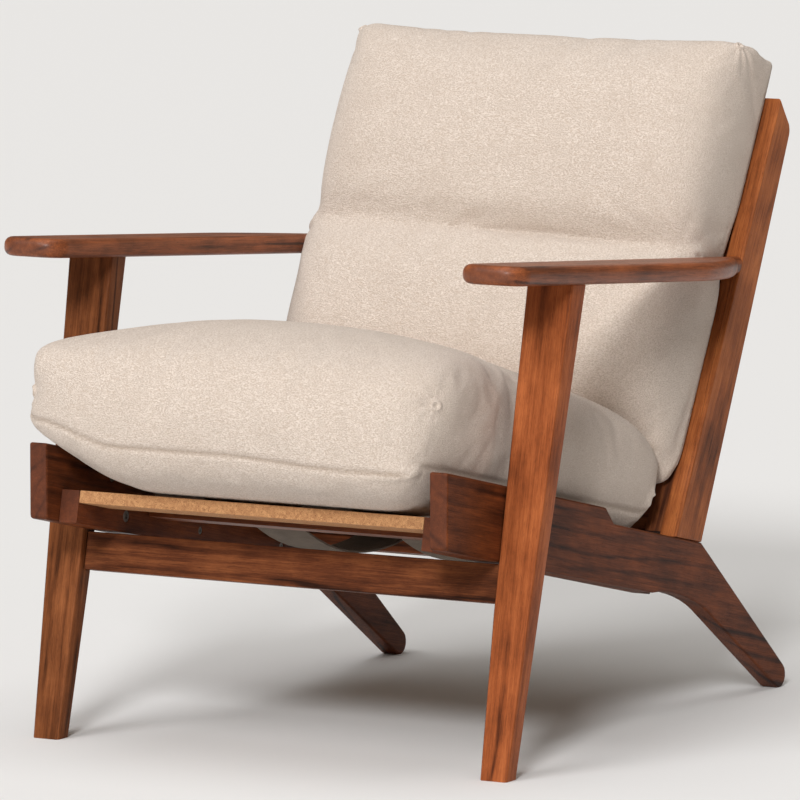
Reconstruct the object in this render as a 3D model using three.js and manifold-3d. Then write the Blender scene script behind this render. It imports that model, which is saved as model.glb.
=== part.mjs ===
// A low wooden fireside chair with two loose cushions.
// Lengths are millimetres and angles are degrees. X runs to the right as seen from the front,
// Y to the rear and Z up. The origin is on the floor under the middle of the chair.
import * as THREE from 'three';
import { mergeVertices } from 'three/addons/utils/BufferGeometryUtils.js';
import Module from 'manifold-3d';

const wasm = await Module();
wasm.setup();

// Clearances and cuts
const fitGap = 0.3;
const softGap = 2;
const cutOverrun = 30;

// Driving dimensions of the frame
const seatWidth = 520;
const plankThickness = 24;
const plankHeight = 89.5;
const seatSlope = 12.57;
const backRecline = 28.2;
const deckFrontY = -357;
const deckFrontZ = 310;
const deckLength = 537;
const deckSink = 50;
const arrisRadius = 2.5;
const arrisSteps = 2;
const arcSteps = 5;

// Side plank, measured along the deck and above it
const plankNoseReach = 34;
const plankNoseRound = 6;
const stepBeforePost = 188;
const stepLength = 26;
const stepDrop = 17.5;
const stepRound = 9;
const bellyBeforePost = 42;
const bellyHandle = 40;
const kneeBehindPost = 84;
const kneeBelowPost = 102;
const heelBehindPost = 282;
const heelRadius = 16;
const heelSink = 1;
const floorCutReach = 60;
const bellySteps = 8;

// Back post
const postBehindDeck = 5;
const postFootWidth = 70;
const postLength = 583;
const postTopWidth = 44;
const postTopCut = 21;
const postTopRound = 18;
const tenonThickness = 9;
const tenonDepth = 24;
const tenonInset = 10;

// Front leg
const legFloorFrontY = -323;
const legFloorDepth = 25.5;
const legTopFrontY = -201.5;
const legTopDepth = 34;
const legTopWidth = 61;
const legFloorWidth = 35.5;
const legFloorSplay = 4.7;
const legStraightTo = 190;
const legChamfer = 2.5;

// Arm
const armThickness = 23;
const armFrontY = -352;
const armFrontZ = 584;
const armSlope = 4.64;
const armOverPlank = 14;
const armOverPost = 22;
const armBesidePost = 1;
const armWidth = 86;
const armNoseRound = 30;
const armCurveLength = 220;
const armCurveGap = 7;
const armCurveStartShare = 0.34;
const armCurveEndShare = 0.25;
const armCurveInShare = 0.44;
const armEdgeFlat = 4;
const armEdgeSteps = 5;
const armCurveSteps = 10;
const legTenonWidth = 34;
const legTenonThickness = 12;
const legTenonHeight = 14;

// Front stretcher and rear stretcher
const stretcherHeight = 46;
const stretcherThickness = 24;
const stretcherTopZ = 246;
const stretcherSetback = 9.5;
const stretcherTenonLength = 20;
const stretcherTenonHeight = 28;
const stretcherTenonThickness = 10;
const rearStretcherBehindDeck = 13;
const rearStretcherThickness = 22;
const rearStretcherBottom = -6;
const rearStretcherTop = 22;

// Deck inside the planks
const runnerWidth = 25;
const runnerHeight = 39.5;
const boardThickness = 15;
const boardDepth = 72;
const slatDepth = 50;
const slatAlong = 163;
const rearSlatDepth = 40;
const deckArris = 1;

// Webbing
const strapWidth = 68;
const strapThickness = 2.2;
const strapSpacingShare = 0.385;
const strapSag = 28;
const strapShortSag = 7;
const strapSteps = 12;
const strapEndInset = 6;

// Back frame between the posts
const stileWidth = 24;
const stileDepth = 28;
const stileRecess = 6;
const stileFoot = 8;
const stileTop = 572;
const backRailHeight = 48;
const backRailDepth = 22;
const backStrapCount = 4;

// Fasteners
const boltRadius = 3;
const boltHeadRadius = 7;
const boltHeadHeight = 3;
const boltSink = 1;
const boltLength = 48;
const boltAlong = 113;
const boltAboveDeck = 27;
const boltBelowDeck = -20;
const screwRadius = 2.2;
const screwHeadRadius = 4.5;
const screwHeadHeight = 2.5;
const screwLength = 34;
const screwFirstAlong = 290;
const screwEndInset = 47;
const armScrewLength = 86;
const roundSides = 16;

// Seat cushion, measured along the deck and above it. Its left front corner is stuffed fuller.
const seatFrontReach = 90;
const seatCornerSetback = 20;
const seatLowerReach = 84;
const seatLowerSetback = 24;
const seatRearInset = 16;
const seatRearUndercut = 8;
const seatCrestDepth = 78;
const seatCrestHeight = 187;
const seatCrown = 27;
const seatFallShare = 0.06;
const seatNoseDrop = 66;
const seatFullNoseDrop = 31;
const seatFullSink = 8;
const seatFullLength = 230;
const seatTailLength = 121;
const seatTailDrop = 29;
const seatSideRise = 53;
const seatFrontRise = 46;
const seatFrontSag = 8;
const seatFrontRoundDepth = 24;
const seatRearRise = 45;
const seatRearRoundLength = 73;
const seatCornerLift = 27;
const seatOverPlank = 4;
const seatFrontFlare = 11;
const seatFlareReach = 50;
const seatFlareLength = 150;
const seatLedge = 10;
const seatPlankClear = 6;
const seatNoseClear = 12;
const seatSideBulge = 5;
const seatFrontBulge = 9;
const seatRearBulge = 10;
const seatCrossSteps = 16;
const seatLongSteps = 16;
const seatHeightSteps = 6;

// Where along half the seat cushion's width its shapes start, from the middle
const seatFullFromShare = 0.3;
const seatLiftFromShare = 0.5;
const seatFullEndShare = 0.95;
const seatSagToShare = 0.6;
const seatSideFromShare = 0.68;
const seatNoseCrownShare = 0.6;

// Back cushion, measured up the back and ahead of it
const backCushionFoot = 74;
const backCushionTop = 610;
const backFootSlant = 54;
const backCornerRise = 9;
const backCushionDepth = 107;
const backCushionCrown = 40;
const backCushionSwell = 6;
const backEdgeSetback = 12;
const backCushionOverPost = 5;
const backSideBulge = 2;
const backFootBulge = 4;
const backTopBulge = 8;
const backCrossSteps = 16;
const backLongSteps = 22;
const backDepthSteps = 4;
const channelHeight = 341;
const channelTilt = 8;
const channelDepth = 12;
const channelWidth = 22;
const armPinch = 8;
const armPinchBelow = 12;
const armPinchLength = 130;
const backEdgeFromShare = 0.88;
const backTopFromShare = 0.9;

// Inside the cushions
const coverWall = 14;
const coreGap = 3;
const coreCrossSteps = 8;
const coreLongSteps = 10;
const coreHeightSteps = 2;
const zipLengthShare = 0.73;
const zipHeight = 7;
const zipRecess = 3;
const zipSlotReach = 28;

// Powers that shape the cushions: a higher one keeps a form flat for longer, then turns it faster
const crownPower = 2;
const turnPower = 3;
const edgePower = 4;
const cornerPower = 6;

// Materials
const walnutLit = new THREE.MeshStandardMaterial({ color: 0x8f4f2a, roughness: 0.42, metalness: 0 });
const walnutDark = new THREE.MeshStandardMaterial({ color: 0x6b3a24, roughness: 0.45, metalness: 0 });
const rawBoard = new THREE.MeshStandardMaterial({ color: 0xc8915a, roughness: 0.75, metalness: 0 });
const webbing = new THREE.MeshStandardMaterial({ color: 0x9a8a78, roughness: 0.9, metalness: 0 });
const steel = new THREE.MeshStandardMaterial({ color: 0x6f6d6a, roughness: 0.4, metalness: 1 });
const chenille = new THREE.MeshStandardMaterial({ color: 0xe6d9c8, roughness: 0.95, metalness: 0 });
const foam = new THREE.MeshStandardMaterial({ color: 0xf0e6c8, roughness: 1, metalness: 0 });
const zipTape = new THREE.MeshStandardMaterial({ color: 0xb9ab98, roughness: 0.8, metalness: 0 });

// Frames: the deck falls to the rear, the back leans to the rear, the arm falls a little
const radians = THREE.MathUtils.degToRad;
const slope = radians(seatSlope);
const lean = radians(backRecline);
const tilt = radians(armSlope);
const plankInnerX = seatWidth / 2;
const plankOuterX = plankInnerX + plankThickness;
const plankTop = deckSink;
const plankBottom = deckSink - plankHeight;
const landHeight = deckSink - stepDrop;
const postFootAlong = deckLength + postBehindDeck;
const strapSpacing = seatWidth * strapSpacingShare;
const zipLength = seatWidth * zipLengthShare;
const seatRearAlong = deckLength - seatRearInset;
const seatHalfWidth = plankInnerX + seatOverPlank;
const backCushionHalfWidth = plankInnerX + backCushionOverPost;

const deck = new THREE.Group();
deck.position.set(0, deckFrontY, deckFrontZ);
deck.rotation.x = -slope;
deck.updateMatrix();

// A point of the side view, given along the deck and above it.
function onDeck(along, above) {
  return new THREE.Vector2(
    deckFrontY + along * Math.cos(slope) + above * Math.sin(slope),
    deckFrontZ - along * Math.sin(slope) + above * Math.cos(slope),
  );
}

const postFoot = onDeck(postFootAlong, landHeight);

const back = new THREE.Group();
back.position.set(0, postFoot.x, postFoot.y);
back.rotation.x = -lean;
back.updateMatrix();

// A point of the side view, given up the back and ahead of the posts' front faces.
function onBack(up, ahead) {
  return new THREE.Vector2(
    postFoot.x + up * Math.sin(lean) - ahead * Math.cos(lean),
    postFoot.y + up * Math.cos(lean) + ahead * Math.sin(lean),
  );
}

const armFrame = new THREE.Matrix4().makeRotationX(-tilt).setPosition(0, armFrontY, armFrontZ);

// Height of the arm's underside at a place along the chair.
function armUnderside(y) {
  return armFrontZ - (y - armFrontY) * Math.tan(tilt);
}

// Solids

function solidOf(geometry) {
  const bare = new THREE.BufferGeometry();
  const source = geometry.index ? geometry.toNonIndexed() : geometry;
  bare.setAttribute('position', source.getAttribute('position'));
  const merged = mergeVertices(bare);
  return new wasm.Manifold(new wasm.Mesh({
    numProp: 3,
    vertProperties: new Float32Array(merged.getAttribute('position').array),
    triVerts: new Uint32Array(merged.index.array),
  }));
}

function geometryOf(solid) {
  const mesh = solid.getMesh();
  const geometry = new THREE.BufferGeometry();
  geometry.setAttribute('position', new THREE.BufferAttribute(mesh.vertProperties, mesh.numProp));
  geometry.setIndex(new THREE.BufferAttribute(mesh.triVerts, 1));
  const flat = geometry.toNonIndexed();
  flat.computeVertexNormals();
  return flat;
}

function cut(geometry, ...tools) {
  return geometryOf(tools.reduce((solid, tool) => solid.subtract(solidOf(tool)), solidOf(geometry)));
}

function join(geometry, ...others) {
  return geometryOf(others.reduce((solid, other) => solid.add(solidOf(other)), solidOf(geometry)));
}

function moved(geometry, matrix) {
  return geometry.clone().applyMatrix4(matrix);
}

// A closed outline through corners, each rounded by an arc of its own radius.
function outlineThrough(corners) {
  const shape = new THREE.Shape();
  corners.forEach(({ at, round = 0 }, index) => {
    if (round === 0) {
      if (index === 0) shape.moveTo(at.x, at.y);
      else shape.lineTo(at.x, at.y);
      return;
    }
    const before = corners.at(index - 1).at;
    const after = corners[(index + 1) % corners.length].at;
    const back = before.clone().sub(at).normalize();
    const on = after.clone().sub(at).normalize();
    const half = Math.acos(back.dot(on)) / 2;
    const reach = round / Math.tan(half);
    const centre = back.clone().add(on).setLength(round / Math.sin(half)).add(at);
    const start = back.clone().setLength(reach).add(at).sub(centre);
    const end = on.clone().setLength(reach).add(at).sub(centre);
    if (index === 0) shape.moveTo(centre.x + start.x, centre.y + start.y);
    shape.absarc(centre.x, centre.y, round, start.angle(), end.angle(), back.cross(on) > 0);
  });
  return shape;
}

// Extrudes an outline by a thickness, with its long edges rounded by the arris radius.
function extruded(shape, thickness, arris = 0, steps = arrisSteps) {
  return new THREE.ExtrudeGeometry(shape, {
    depth: thickness - 2 * arris,
    curveSegments: arcSteps,
    bevelEnabled: arris > 0,
    bevelThickness: arris,
    bevelSize: arris,
    bevelOffset: -arris,
    bevelSegments: steps,
  }).translate(0, 0, arris);
}

const axisX = new THREE.Vector3(1, 0, 0);
const axisY = new THREE.Vector3(0, 1, 0);
const axisZ = new THREE.Vector3(0, 0, 1);
const sideView = new THREE.Matrix4().makeBasis(axisY, axisZ, axisX);

// A block whose outline is drawn in the side view, between two places across the chair.
function sideBlock(shape, fromX, toX, arris = 0) {
  return extruded(shape, toX - fromX, arris).applyMatrix4(sideView).translate(fromX, 0, 0);
}

function cornersOf(points) {
  return points.map((at) => ({ at }));
}

function rectangle(lowX, lowY, highX, highY) {
  return outlineThrough(cornersOf([
    new THREE.Vector2(lowX, lowY),
    new THREE.Vector2(highX, lowY),
    new THREE.Vector2(highX, highY),
    new THREE.Vector2(lowX, highY),
  ]));
}

function box(low, high) {
  const size = high.clone().sub(low);
  const centre = low.clone().add(high).multiplyScalar(1 / 2);
  return new THREE.BoxGeometry(size.x, size.y, size.z).translate(centre.x, centre.y, centre.z);
}

// A bolt or screw with a round recess in its head; it points along +X from its head's face.
function fastener({ radius, headRadius, headHeight, length }, grow = 0, open = 0) {
  const recess = headHeight / 2;
  const headBack = headHeight + grow;
  const tip = length + grow;
  const head = open > 0
    ? [[0, -open], [headRadius + grow, -open]]
    : [[0, recess], [headRadius / 2, recess], [headRadius / 2, 0], [headRadius, 0]];
  const profile = [
    ...head,
    [headRadius + grow, headBack],
    [radius + grow, headBack],
    [radius + grow, tip],
    [0, tip],
  ].map(([across, along]) => new THREE.Vector2(across, along));
  return new THREE.LatheGeometry(profile, roundSides).rotateZ(-Math.PI / 2);
}

// The chair

const chair = new THREE.Group();
chair.add(deck, back);

function place(name, geometry, material, parent = chair) {
  const mesh = new THREE.Mesh(geometry, material.clone());
  mesh.name = name;
  parent.add(mesh);
  return mesh;
}

// Places a right-hand piece and its mirror image on the left.
function placePair(name, geometry, material, parent = chair) {
  place(`right_${name}`, geometry, material, parent);
  place(`left_${name}`, geometry, material, parent).scale.x = -1;
}

// Bolts and screws, in the deck's frame

const bolt = {
  radius: boltRadius,
  headRadius: boltHeadRadius,
  headHeight: boltHeadHeight,
  length: boltLength,
};
const deckScrew = {
  radius: screwRadius,
  headRadius: screwHeadRadius,
  headHeight: screwHeadHeight,
  length: screwLength,
};
const runnerInnerX = plankInnerX - fitGap - runnerWidth;

const upperBoltPlace = new THREE.Vector3(plankInnerX + boltSink, boltAlong, boltAboveDeck);
const lowerBoltPlace = new THREE.Vector3(runnerInnerX + boltSink, boltAlong, boltBelowDeck);
const lowerBolt = { ...bolt, length: boltLength + runnerWidth };
const screwPlaces = [screwFirstAlong, deckLength - screwEndInset].map(
  (along) => new THREE.Vector3(runnerInnerX + boltSink, along, boltBelowDeck),
);

function at(geometry, point) {
  return geometry.translate(point.x, point.y, point.z);
}

function boltHoles() {
  return [
    at(fastener(bolt, fitGap, cutOverrun), upperBoltPlace),
    at(fastener(lowerBolt, fitGap, cutOverrun), lowerBoltPlace),
  ];
}

function screwHoles() {
  return screwPlaces.map((point) => at(fastener(deckScrew, fitGap, cutOverrun), point));
}

// Shaft holes alone, for the pieces behind the one that holds the head.
function shaftHole(size, point, fromX) {
  const reach = point.x + size.length + fitGap - fromX;
  const hole = new THREE.CylinderGeometry(size.radius + fitGap, size.radius + fitGap, reach, roundSides);
  return hole.rotateZ(-Math.PI / 2).translate(fromX + reach / 2, point.y, point.z);
}

// Side planks: seat rail and rear leg in one board

function postTenon(grow = 0) {
  const start = postFootAlong + tenonInset - grow;
  const end = postFootAlong + postFootWidth - tenonInset + grow;
  const middleX = plankInnerX + plankThickness / 2;
  const corners = [
    onDeck(start, landHeight - tenonDepth - grow),
    onDeck(end, landHeight - tenonDepth - grow),
    onDeck(end, landHeight + tenonInset),
    onDeck(start, landHeight + tenonInset),
  ];
  const halfThickness = tenonThickness / 2 + grow;
  return sideBlock(outlineThrough(cornersOf(corners)), middleX - halfThickness, middleX + halfThickness);
}

const heel = new THREE.Vector2(postFoot.x + heelBehindPost, heelRadius - heelSink);

// Where a line from a point touches the heel circle, on its lower (-1) or upper (1) side.
function heelTangent(from, side) {
  const toCentre = heel.clone().sub(from);
  const swing = Math.asin(heelRadius / toCentre.length()) * side;
  const length = Math.sqrt(toCentre.lengthSq() - heelRadius ** 2);
  return from.clone().add(toCentre.rotateAround(new THREE.Vector2(), swing).setLength(length));
}

function sidePlank() {
  const postBack = onDeck(postFootAlong + postFootWidth, landHeight);
  const knee = new THREE.Vector2(postFoot.x + kneeBehindPost, postFoot.y - kneeBelowPost);
  const lower = heelTangent(knee, -1);
  const upper = heelTangent(postBack, 1);
  const fromAngle = lower.clone().sub(heel).angle();
  const sweep = upper.clone().sub(heel).angle() + 2 * Math.PI - fromAngle;
  const heelArc = Array.from({ length: bellySteps + 1 }, (_, index) => {
    const angle = fromAngle + sweep * index / bellySteps;
    return new THREE.Vector2(Math.cos(angle), Math.sin(angle)).multiplyScalar(heelRadius).add(heel);
  });
  const bellyFrom = onDeck(postFootAlong - bellyBeforePost, plankBottom);
  const legWay = lower.clone().sub(knee).normalize();
  const belly = new THREE.CubicBezierCurve(
    bellyFrom,
    bellyFrom.clone().add(new THREE.Vector2(bellyHandle, 0)),
    knee.clone().addScaledVector(legWay, -bellyHandle),
    knee,
  );
  const nose = deckFrontY - plankNoseReach;
  const noseAlong = -plankNoseReach / Math.cos(slope);
  const bottomNose = onDeck(noseAlong, plankBottom);
  const topNose = onDeck(noseAlong, plankTop);
  const fall = Math.tan(slope);
  bottomNose.set(nose, bottomNose.y + (bottomNose.x - nose) * fall);
  topNose.set(nose, topNose.y + (topNose.x - nose) * fall);
  const outline = outlineThrough([
    { at: bottomNose, round: plankNoseRound },
    ...cornersOf(belly.getPoints(bellySteps)),
    ...cornersOf(heelArc),
    { at: postBack },
    { at: onDeck(postFootAlong - stepBeforePost + stepLength, landHeight), round: stepRound },
    { at: onDeck(postFootAlong - stepBeforePost, plankTop), round: stepRound },
    { at: topNose, round: plankNoseRound / 2 },
  ]);
  const board = sideBlock(outline, plankInnerX, plankOuterX, arrisRadius);
  const below = box(
    new THREE.Vector3(plankInnerX - cutOverrun, heel.x - floorCutReach, -cutOverrun),
    new THREE.Vector3(plankOuterX + cutOverrun, heel.x + floorCutReach, 0),
  );
  const holes = [
    ...boltHoles().slice(0, 1),
    shaftHole(lowerBolt, lowerBoltPlace, plankInnerX - cutOverrun),
    ...screwPlaces.map((point) => shaftHole(deckScrew, point, plankInnerX - cutOverrun)),
  ].map((hole) => moved(hole, deck.matrix));
  return cut(board, below, postTenon(fitGap), ...holes);
}

placePair('side_plank', sidePlank(), walnutLit);

// Back posts

const armScrew = { ...deckScrew, length: armScrewLength };
const armEndAlong = (postFoot.x - armFrontY
  + (armFrontZ - postFoot.y) * Math.tan(lean)) / (Math.cos(tilt) + Math.sin(tilt) * Math.tan(lean));
const armScrewX = plankInnerX + plankThickness / 2;

function armScrewAt(geometry) {
  const half = (postTopWidth + postFootWidth) / 2;
  geometry.rotateZ(-Math.PI / 2).translate(armScrewX, armEndAlong + half - boltSink, armThickness / 2);
  return geometry.applyMatrix4(armFrame);
}

function backPost() {
  const frontTop = onBack(postLength, 0);
  const backFoot = onDeck(postFootAlong + postFootWidth, landHeight + fitGap);
  const backTop = onBack(postLength - postTopCut, -postTopWidth);
  const outline = outlineThrough([
    { at: onDeck(postFootAlong, landHeight + fitGap) },
    { at: backFoot },
    { at: backTop, round: postTopRound },
    { at: frontTop },
  ]);
  const post = sideBlock(outline, plankInnerX, plankOuterX, arrisRadius);
  return cut(join(post, postTenon()), armScrewAt(fastener(armScrew, fitGap, cutOverrun)));
}

placePair('back_post', backPost(), walnutLit);
placePair('arm_screw', armScrewAt(fastener(armScrew)), steel);

// Front legs: raked, and tapered on both faces

function legFrontY(z) {
  const topZ = armUnderside(legTopFrontY);
  return legFloorFrontY + (legTopFrontY - legFloorFrontY) * z / topZ;
}

function legBackY(z) {
  const topZ = armUnderside(legTopFrontY + legTopDepth);
  const floorBack = legFloorFrontY + legFloorDepth;
  return floorBack + (legTopFrontY + legTopDepth - floorBack) * z / topZ;
}

// A solid through rings of points with one count, closed by its first and last ring.
function loft(rings) {
  const count = rings[0].length;
  const indices = [];
  for (let ring = 0; ring + 1 < rings.length; ring += 1) {
    for (let side = 0; side < count; side += 1) {
      const here = ring * count + side;
      const next = ring * count + (side + 1) % count;
      indices.push(here, next, next + count, here, next + count, here + count);
    }
  }
  const last = (rings.length - 1) * count;
  for (let side = 1; side + 1 < count; side += 1) {
    indices.push(0, side + 1, side, last, last + side, last + side + 1);
  }
  const geometry = new THREE.BufferGeometry().setFromPoints(rings.flat());
  geometry.setIndex(indices);
  return geometry.toNonIndexed();
}

function legRing(innerX, outerX, z, heightAt) {
  const frontY = legFrontY(z);
  const backY = legBackY(z);
  const corner = legChamfer;
  return [
    [innerX + corner, frontY],
    [outerX - corner, frontY],
    [outerX, frontY + corner],
    [outerX, backY - corner],
    [outerX - corner, backY],
    [innerX + corner, backY],
    [innerX, backY - corner],
    [innerX, frontY + corner],
  ].map(([x, y]) => new THREE.Vector3(x, y, heightAt(y)));
}

// The stretcher lies square to the raked legs: its frame has Z up the rake, from its top front edge.
const legRake = Math.atan((legTopFrontY - legFloorFrontY) / armUnderside(legTopFrontY));
const stretcherFrame = new THREE.Matrix4().makeRotationX(-legRake)
  .setPosition(0, legFrontY(stretcherTopZ) + stretcherSetback, stretcherTopZ);

// Both tenons as one bar that runs on through the rail.
function stretcherTenons(grow = 0) {
  const reach = plankOuterX + stretcherTenonLength + grow;
  const middleY = stretcherThickness / 2;
  const middleZ = -stretcherHeight / 2;
  const halfThickness = stretcherTenonThickness / 2 + grow;
  const halfHeight = stretcherTenonHeight / 2 + grow;
  return box(
    new THREE.Vector3(-reach, middleY - halfThickness, middleZ - halfHeight),
    new THREE.Vector3(reach, middleY + halfThickness, middleZ + halfHeight),
  ).applyMatrix4(stretcherFrame);
}

// The tenon on the leg's top, upright in the arm's frame.
function legTenon(grow = 0) {
  const innerX = plankOuterX + (legTopWidth - legTenonWidth) / 2;
  const outerX = innerX + legTenonWidth;
  const middle = (legTopFrontY + legTopDepth / 2 - armFrontY) / Math.cos(tilt);
  const halfThickness = legTenonThickness / 2 + grow;
  return box(
    new THREE.Vector3(innerX - grow, middle - halfThickness, -tenonInset),
    new THREE.Vector3(outerX + grow, middle + halfThickness, legTenonHeight + grow),
  ).applyMatrix4(armFrame);
}

function frontLeg() {
  const innerX = plankOuterX + fitGap;
  const topZ = armUnderside(legTopFrontY);
  const outerFloorX = innerX + legFloorSplay + legFloorWidth;
  const outerX = (z) => outerFloorX + (innerX + legTopWidth - outerFloorX) * z / topZ;
  const leg = loft([
    legRing(innerX + legFloorSplay, outerFloorX, 0, () => 0),
    legRing(innerX, outerX(legStraightTo), legStraightTo, () => legStraightTo),
    legRing(innerX, outerX(topZ), topZ, (y) => armUnderside(y) - fitGap),
  ]);
  const holes = [
    shaftHole(bolt, upperBoltPlace, plankInnerX),
    shaftHole(lowerBolt, lowerBoltPlace, plankInnerX),
  ].map((hole) => moved(hole, deck.matrix));
  return cut(join(leg, legTenon()), stretcherTenons(fitGap), ...holes);
}

placePair('front_leg', frontLeg(), walnutLit);
placePair('upper_leg_bolt', at(fastener(bolt), upperBoltPlace), steel, deck);
placePair('lower_leg_bolt', at(fastener(lowerBolt), lowerBoltPlace), steel, deck);

// Arms: flat boards with round edges, drawn in towards the posts

function arm() {
  const innerX = plankOuterX - armOverPlank;
  const outerX = innerX + armWidth;
  const innerRearX = plankOuterX - armOverPost;
  const outerRearX = plankOuterX + armBesidePost;
  const curveEnd = armEndAlong - armCurveGap;
  const curveStart = curveEnd - armCurveLength;
  const rear = armEndAlong + cutOverrun;
  const turnX = THREE.MathUtils.lerp(outerRearX, outerX, armCurveInShare);
  const sweep = new THREE.CubicBezierCurve(
    new THREE.Vector2(outerX, curveStart),
    new THREE.Vector2(outerX, curveStart + armCurveLength * armCurveStartShare),
    new THREE.Vector2(turnX, curveEnd - armCurveLength * armCurveEndShare),
    new THREE.Vector2(outerRearX, curveEnd),
  );
  const outline = outlineThrough([
    { at: new THREE.Vector2(innerX, 0), round: armNoseRound },
    { at: new THREE.Vector2(outerX, 0), round: armNoseRound },
    ...cornersOf(sweep.getPoints(armCurveSteps)),
    { at: new THREE.Vector2(outerRearX, rear) },
    { at: new THREE.Vector2(innerRearX, rear) },
  ]);
  const edge = (armThickness - armEdgeFlat) / 2;
  const board = extruded(outline, armThickness, edge, armEdgeSteps).applyMatrix4(armFrame);
  const behind = box(
    new THREE.Vector3(0, -fitGap, 0),
    new THREE.Vector3(outerX + cutOverrun, armWidth, postLength),
  ).applyMatrix4(back.matrix);
  return cut(board, behind, legTenon(fitGap), armScrewAt(fastener(armScrew, fitGap, cutOverrun)));
}

placePair('arm', arm(), walnutDark);

// Front stretcher between the legs

function frontStretcher() {
  const outline = rectangle(0, -stretcherHeight, stretcherThickness, 0);
  const rail = sideBlock(outline, -plankOuterX, plankOuterX, arrisRadius).applyMatrix4(stretcherFrame);
  return join(rail, stretcherTenons());
}

place('front_stretcher', frontStretcher(), walnutLit);

// Rear stretcher between the planks, under the rear of the deck

function rearStretcher() {
  const start = deckLength + rearStretcherBehindDeck;
  const outline = rectangle(start, rearStretcherBottom, start + rearStretcherThickness, rearStretcherTop);
  return sideBlock(outline, fitGap - plankInnerX, plankInnerX - fitGap, deckArris);
}

place('rear_stretcher', rearStretcher(), walnutDark, deck);

// Deck: two runners, a light front board and dark slats

function deckRunner() {
  const outline = rectangle(0, -runnerHeight, deckLength, 0);
  const runner = sideBlock(outline, runnerInnerX, runnerInnerX + runnerWidth, deckArris);
  return cut(runner, ...boltHoles().slice(1), ...screwHoles());
}

placePair('deck_runner', deckRunner(), walnutLit, deck);

screwPlaces.forEach((point, index) => {
  placePair(`deck_screw_${index + 1}`, at(fastener(deckScrew), point), steel, deck);
});

function deckSlat(start, depth) {
  const outline = rectangle(start, -boardThickness, start + depth, 0);
  return sideBlock(outline, fitGap - runnerInnerX, runnerInnerX - fitGap, deckArris);
}

const rearSlatAlong = deckLength - rearSlatDepth;
place('deck_front_board', deckSlat(0, boardDepth), rawBoard, deck);
place('deck_cross_slat', deckSlat(slatAlong, slatDepth), walnutDark, deck);
place('deck_rear_slat', deckSlat(rearSlatAlong, rearSlatDepth), walnutDark, deck);

// Webbing straps from front to rear, hanging between the slats

const strapSpans = [
  { from: strapEndInset, to: boardDepth, sag: 0 },
  { from: boardDepth, to: slatAlong, sag: strapShortSag },
  { from: slatAlong, to: slatAlong + slatDepth, sag: 0 },
  { from: slatAlong + slatDepth, to: rearSlatAlong, sag: strapSag },
  { from: rearSlatAlong, to: deckLength - strapEndInset, sag: 0 },
];

// A ribbon of even thickness that dips between its supports, as points of its lower line.
function ribbonOutline(spans, lift, thickness) {
  const lower = [];
  spans.forEach(({ from, to, sag }) => {
    const steps = sag === 0 ? 1 : strapSteps;
    for (let step = lower.length === 0 ? 0 : 1; step <= steps; step += 1) {
      const share = step / steps;
      lower.push(new THREE.Vector2(from + (to - from) * share, lift - 4 * sag * share * (1 - share)));
    }
  });
  const upper = lower.map((point) => new THREE.Vector2(point.x, point.y + thickness)).reverse();
  return outlineThrough(cornersOf([...lower, ...upper]));
}

function seatStrap() {
  const outline = ribbonOutline(strapSpans, fitGap, strapThickness);
  return sideBlock(outline, (strapSpacing - strapWidth) / 2, (strapSpacing + strapWidth) / 2);
}

placePair('seat_strap', seatStrap(), webbing, deck);

// Back frame: stiles, rails and webbing between the posts

const stileInnerX = plankInnerX - fitGap - stileWidth;

placePair('back_stile', box(
  new THREE.Vector3(stileInnerX, stileRecess, stileFoot),
  new THREE.Vector3(stileInnerX + stileWidth, stileRecess + stileDepth, stileTop),
), walnutDark, back);

function backRail(bottom) {
  const start = stileRecess + (stileDepth - backRailDepth) / 2;
  return box(
    new THREE.Vector3(fitGap - stileInnerX, start, bottom),
    new THREE.Vector3(stileInnerX - fitGap, start + backRailDepth, bottom + backRailHeight),
  );
}

place('back_bottom_rail', backRail(stileFoot), walnutDark, back);
place('back_top_rail', backRail(stileTop - backRailHeight), walnutDark, back);

function backStrap(bottom) {
  const halfLength = plankInnerX - strapEndInset;
  const behind = stileRecess - fitGap;
  return box(
    new THREE.Vector3(-halfLength, behind - strapThickness, bottom),
    new THREE.Vector3(halfLength, behind, bottom + strapWidth),
  );
}

const backStrapRoom = stileTop - stileFoot - 2 * backRailHeight - backStrapCount * strapWidth;
const backStrapGap = backStrapRoom / (backStrapCount + 1);
for (let index = 0; index < backStrapCount; index += 1) {
  const bottom = stileFoot + backRailHeight + backStrapGap + index * (strapWidth + backStrapGap);
  place(`back_strap_${index + 1}`, backStrap(bottom), webbing, back);
}

// Cushions: a cube of fine steps, whose points move to the sewn form

// The steps lie closer together near the cube's edges, where the form is round.
function formed(crossSteps, longSteps, heightSteps, form) {
  const side = 2;
  const source = new THREE.BoxGeometry(side, side, side, crossSteps, longSteps, heightSteps).toNonIndexed();
  const bare = new THREE.BufferGeometry();
  const points = source.getAttribute('position');
  const point = new THREE.Vector3();
  bare.setAttribute('position', points);
  for (let index = 0; index < points.count; index += 1) {
    point.fromBufferAttribute(points, index);
    const made = form(...point.toArray().map((place) => Math.sin(place * Math.PI / 2)));
    points.setXYZ(index, made.x, made.y, made.z);
  }
  return bare;
}

function bell(distance, width) {
  return Math.exp(-((distance / width) ** 2));
}

// Rises from 0 to 1 as a quarter of a circle does: flat at first and steep at the end.
function quarterRise(share) {
  return 1 - Math.sqrt(1 - THREE.MathUtils.clamp(share, 0, 1) ** 2);
}

// A cover is two panels, joined by side panels that bulge. across, along and up run from -1 to 1.
function sewn(lower, upper, sideBulge, frontBulge, rearBulge) {
  return (across, along, up) => {
    const point = lower(across, along).lerp(upper(across, along), (up + 1) / 2);
    const swell = 1 - up ** 2;
    const endBulge = along < 0 ? frontBulge : rearBulge;
    point.x += across * sideBulge * swell * (1 - along ** edgePower);
    point.y += along * endBulge * swell * (1 - across ** edgePower);
    return point;
  };
}

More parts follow.
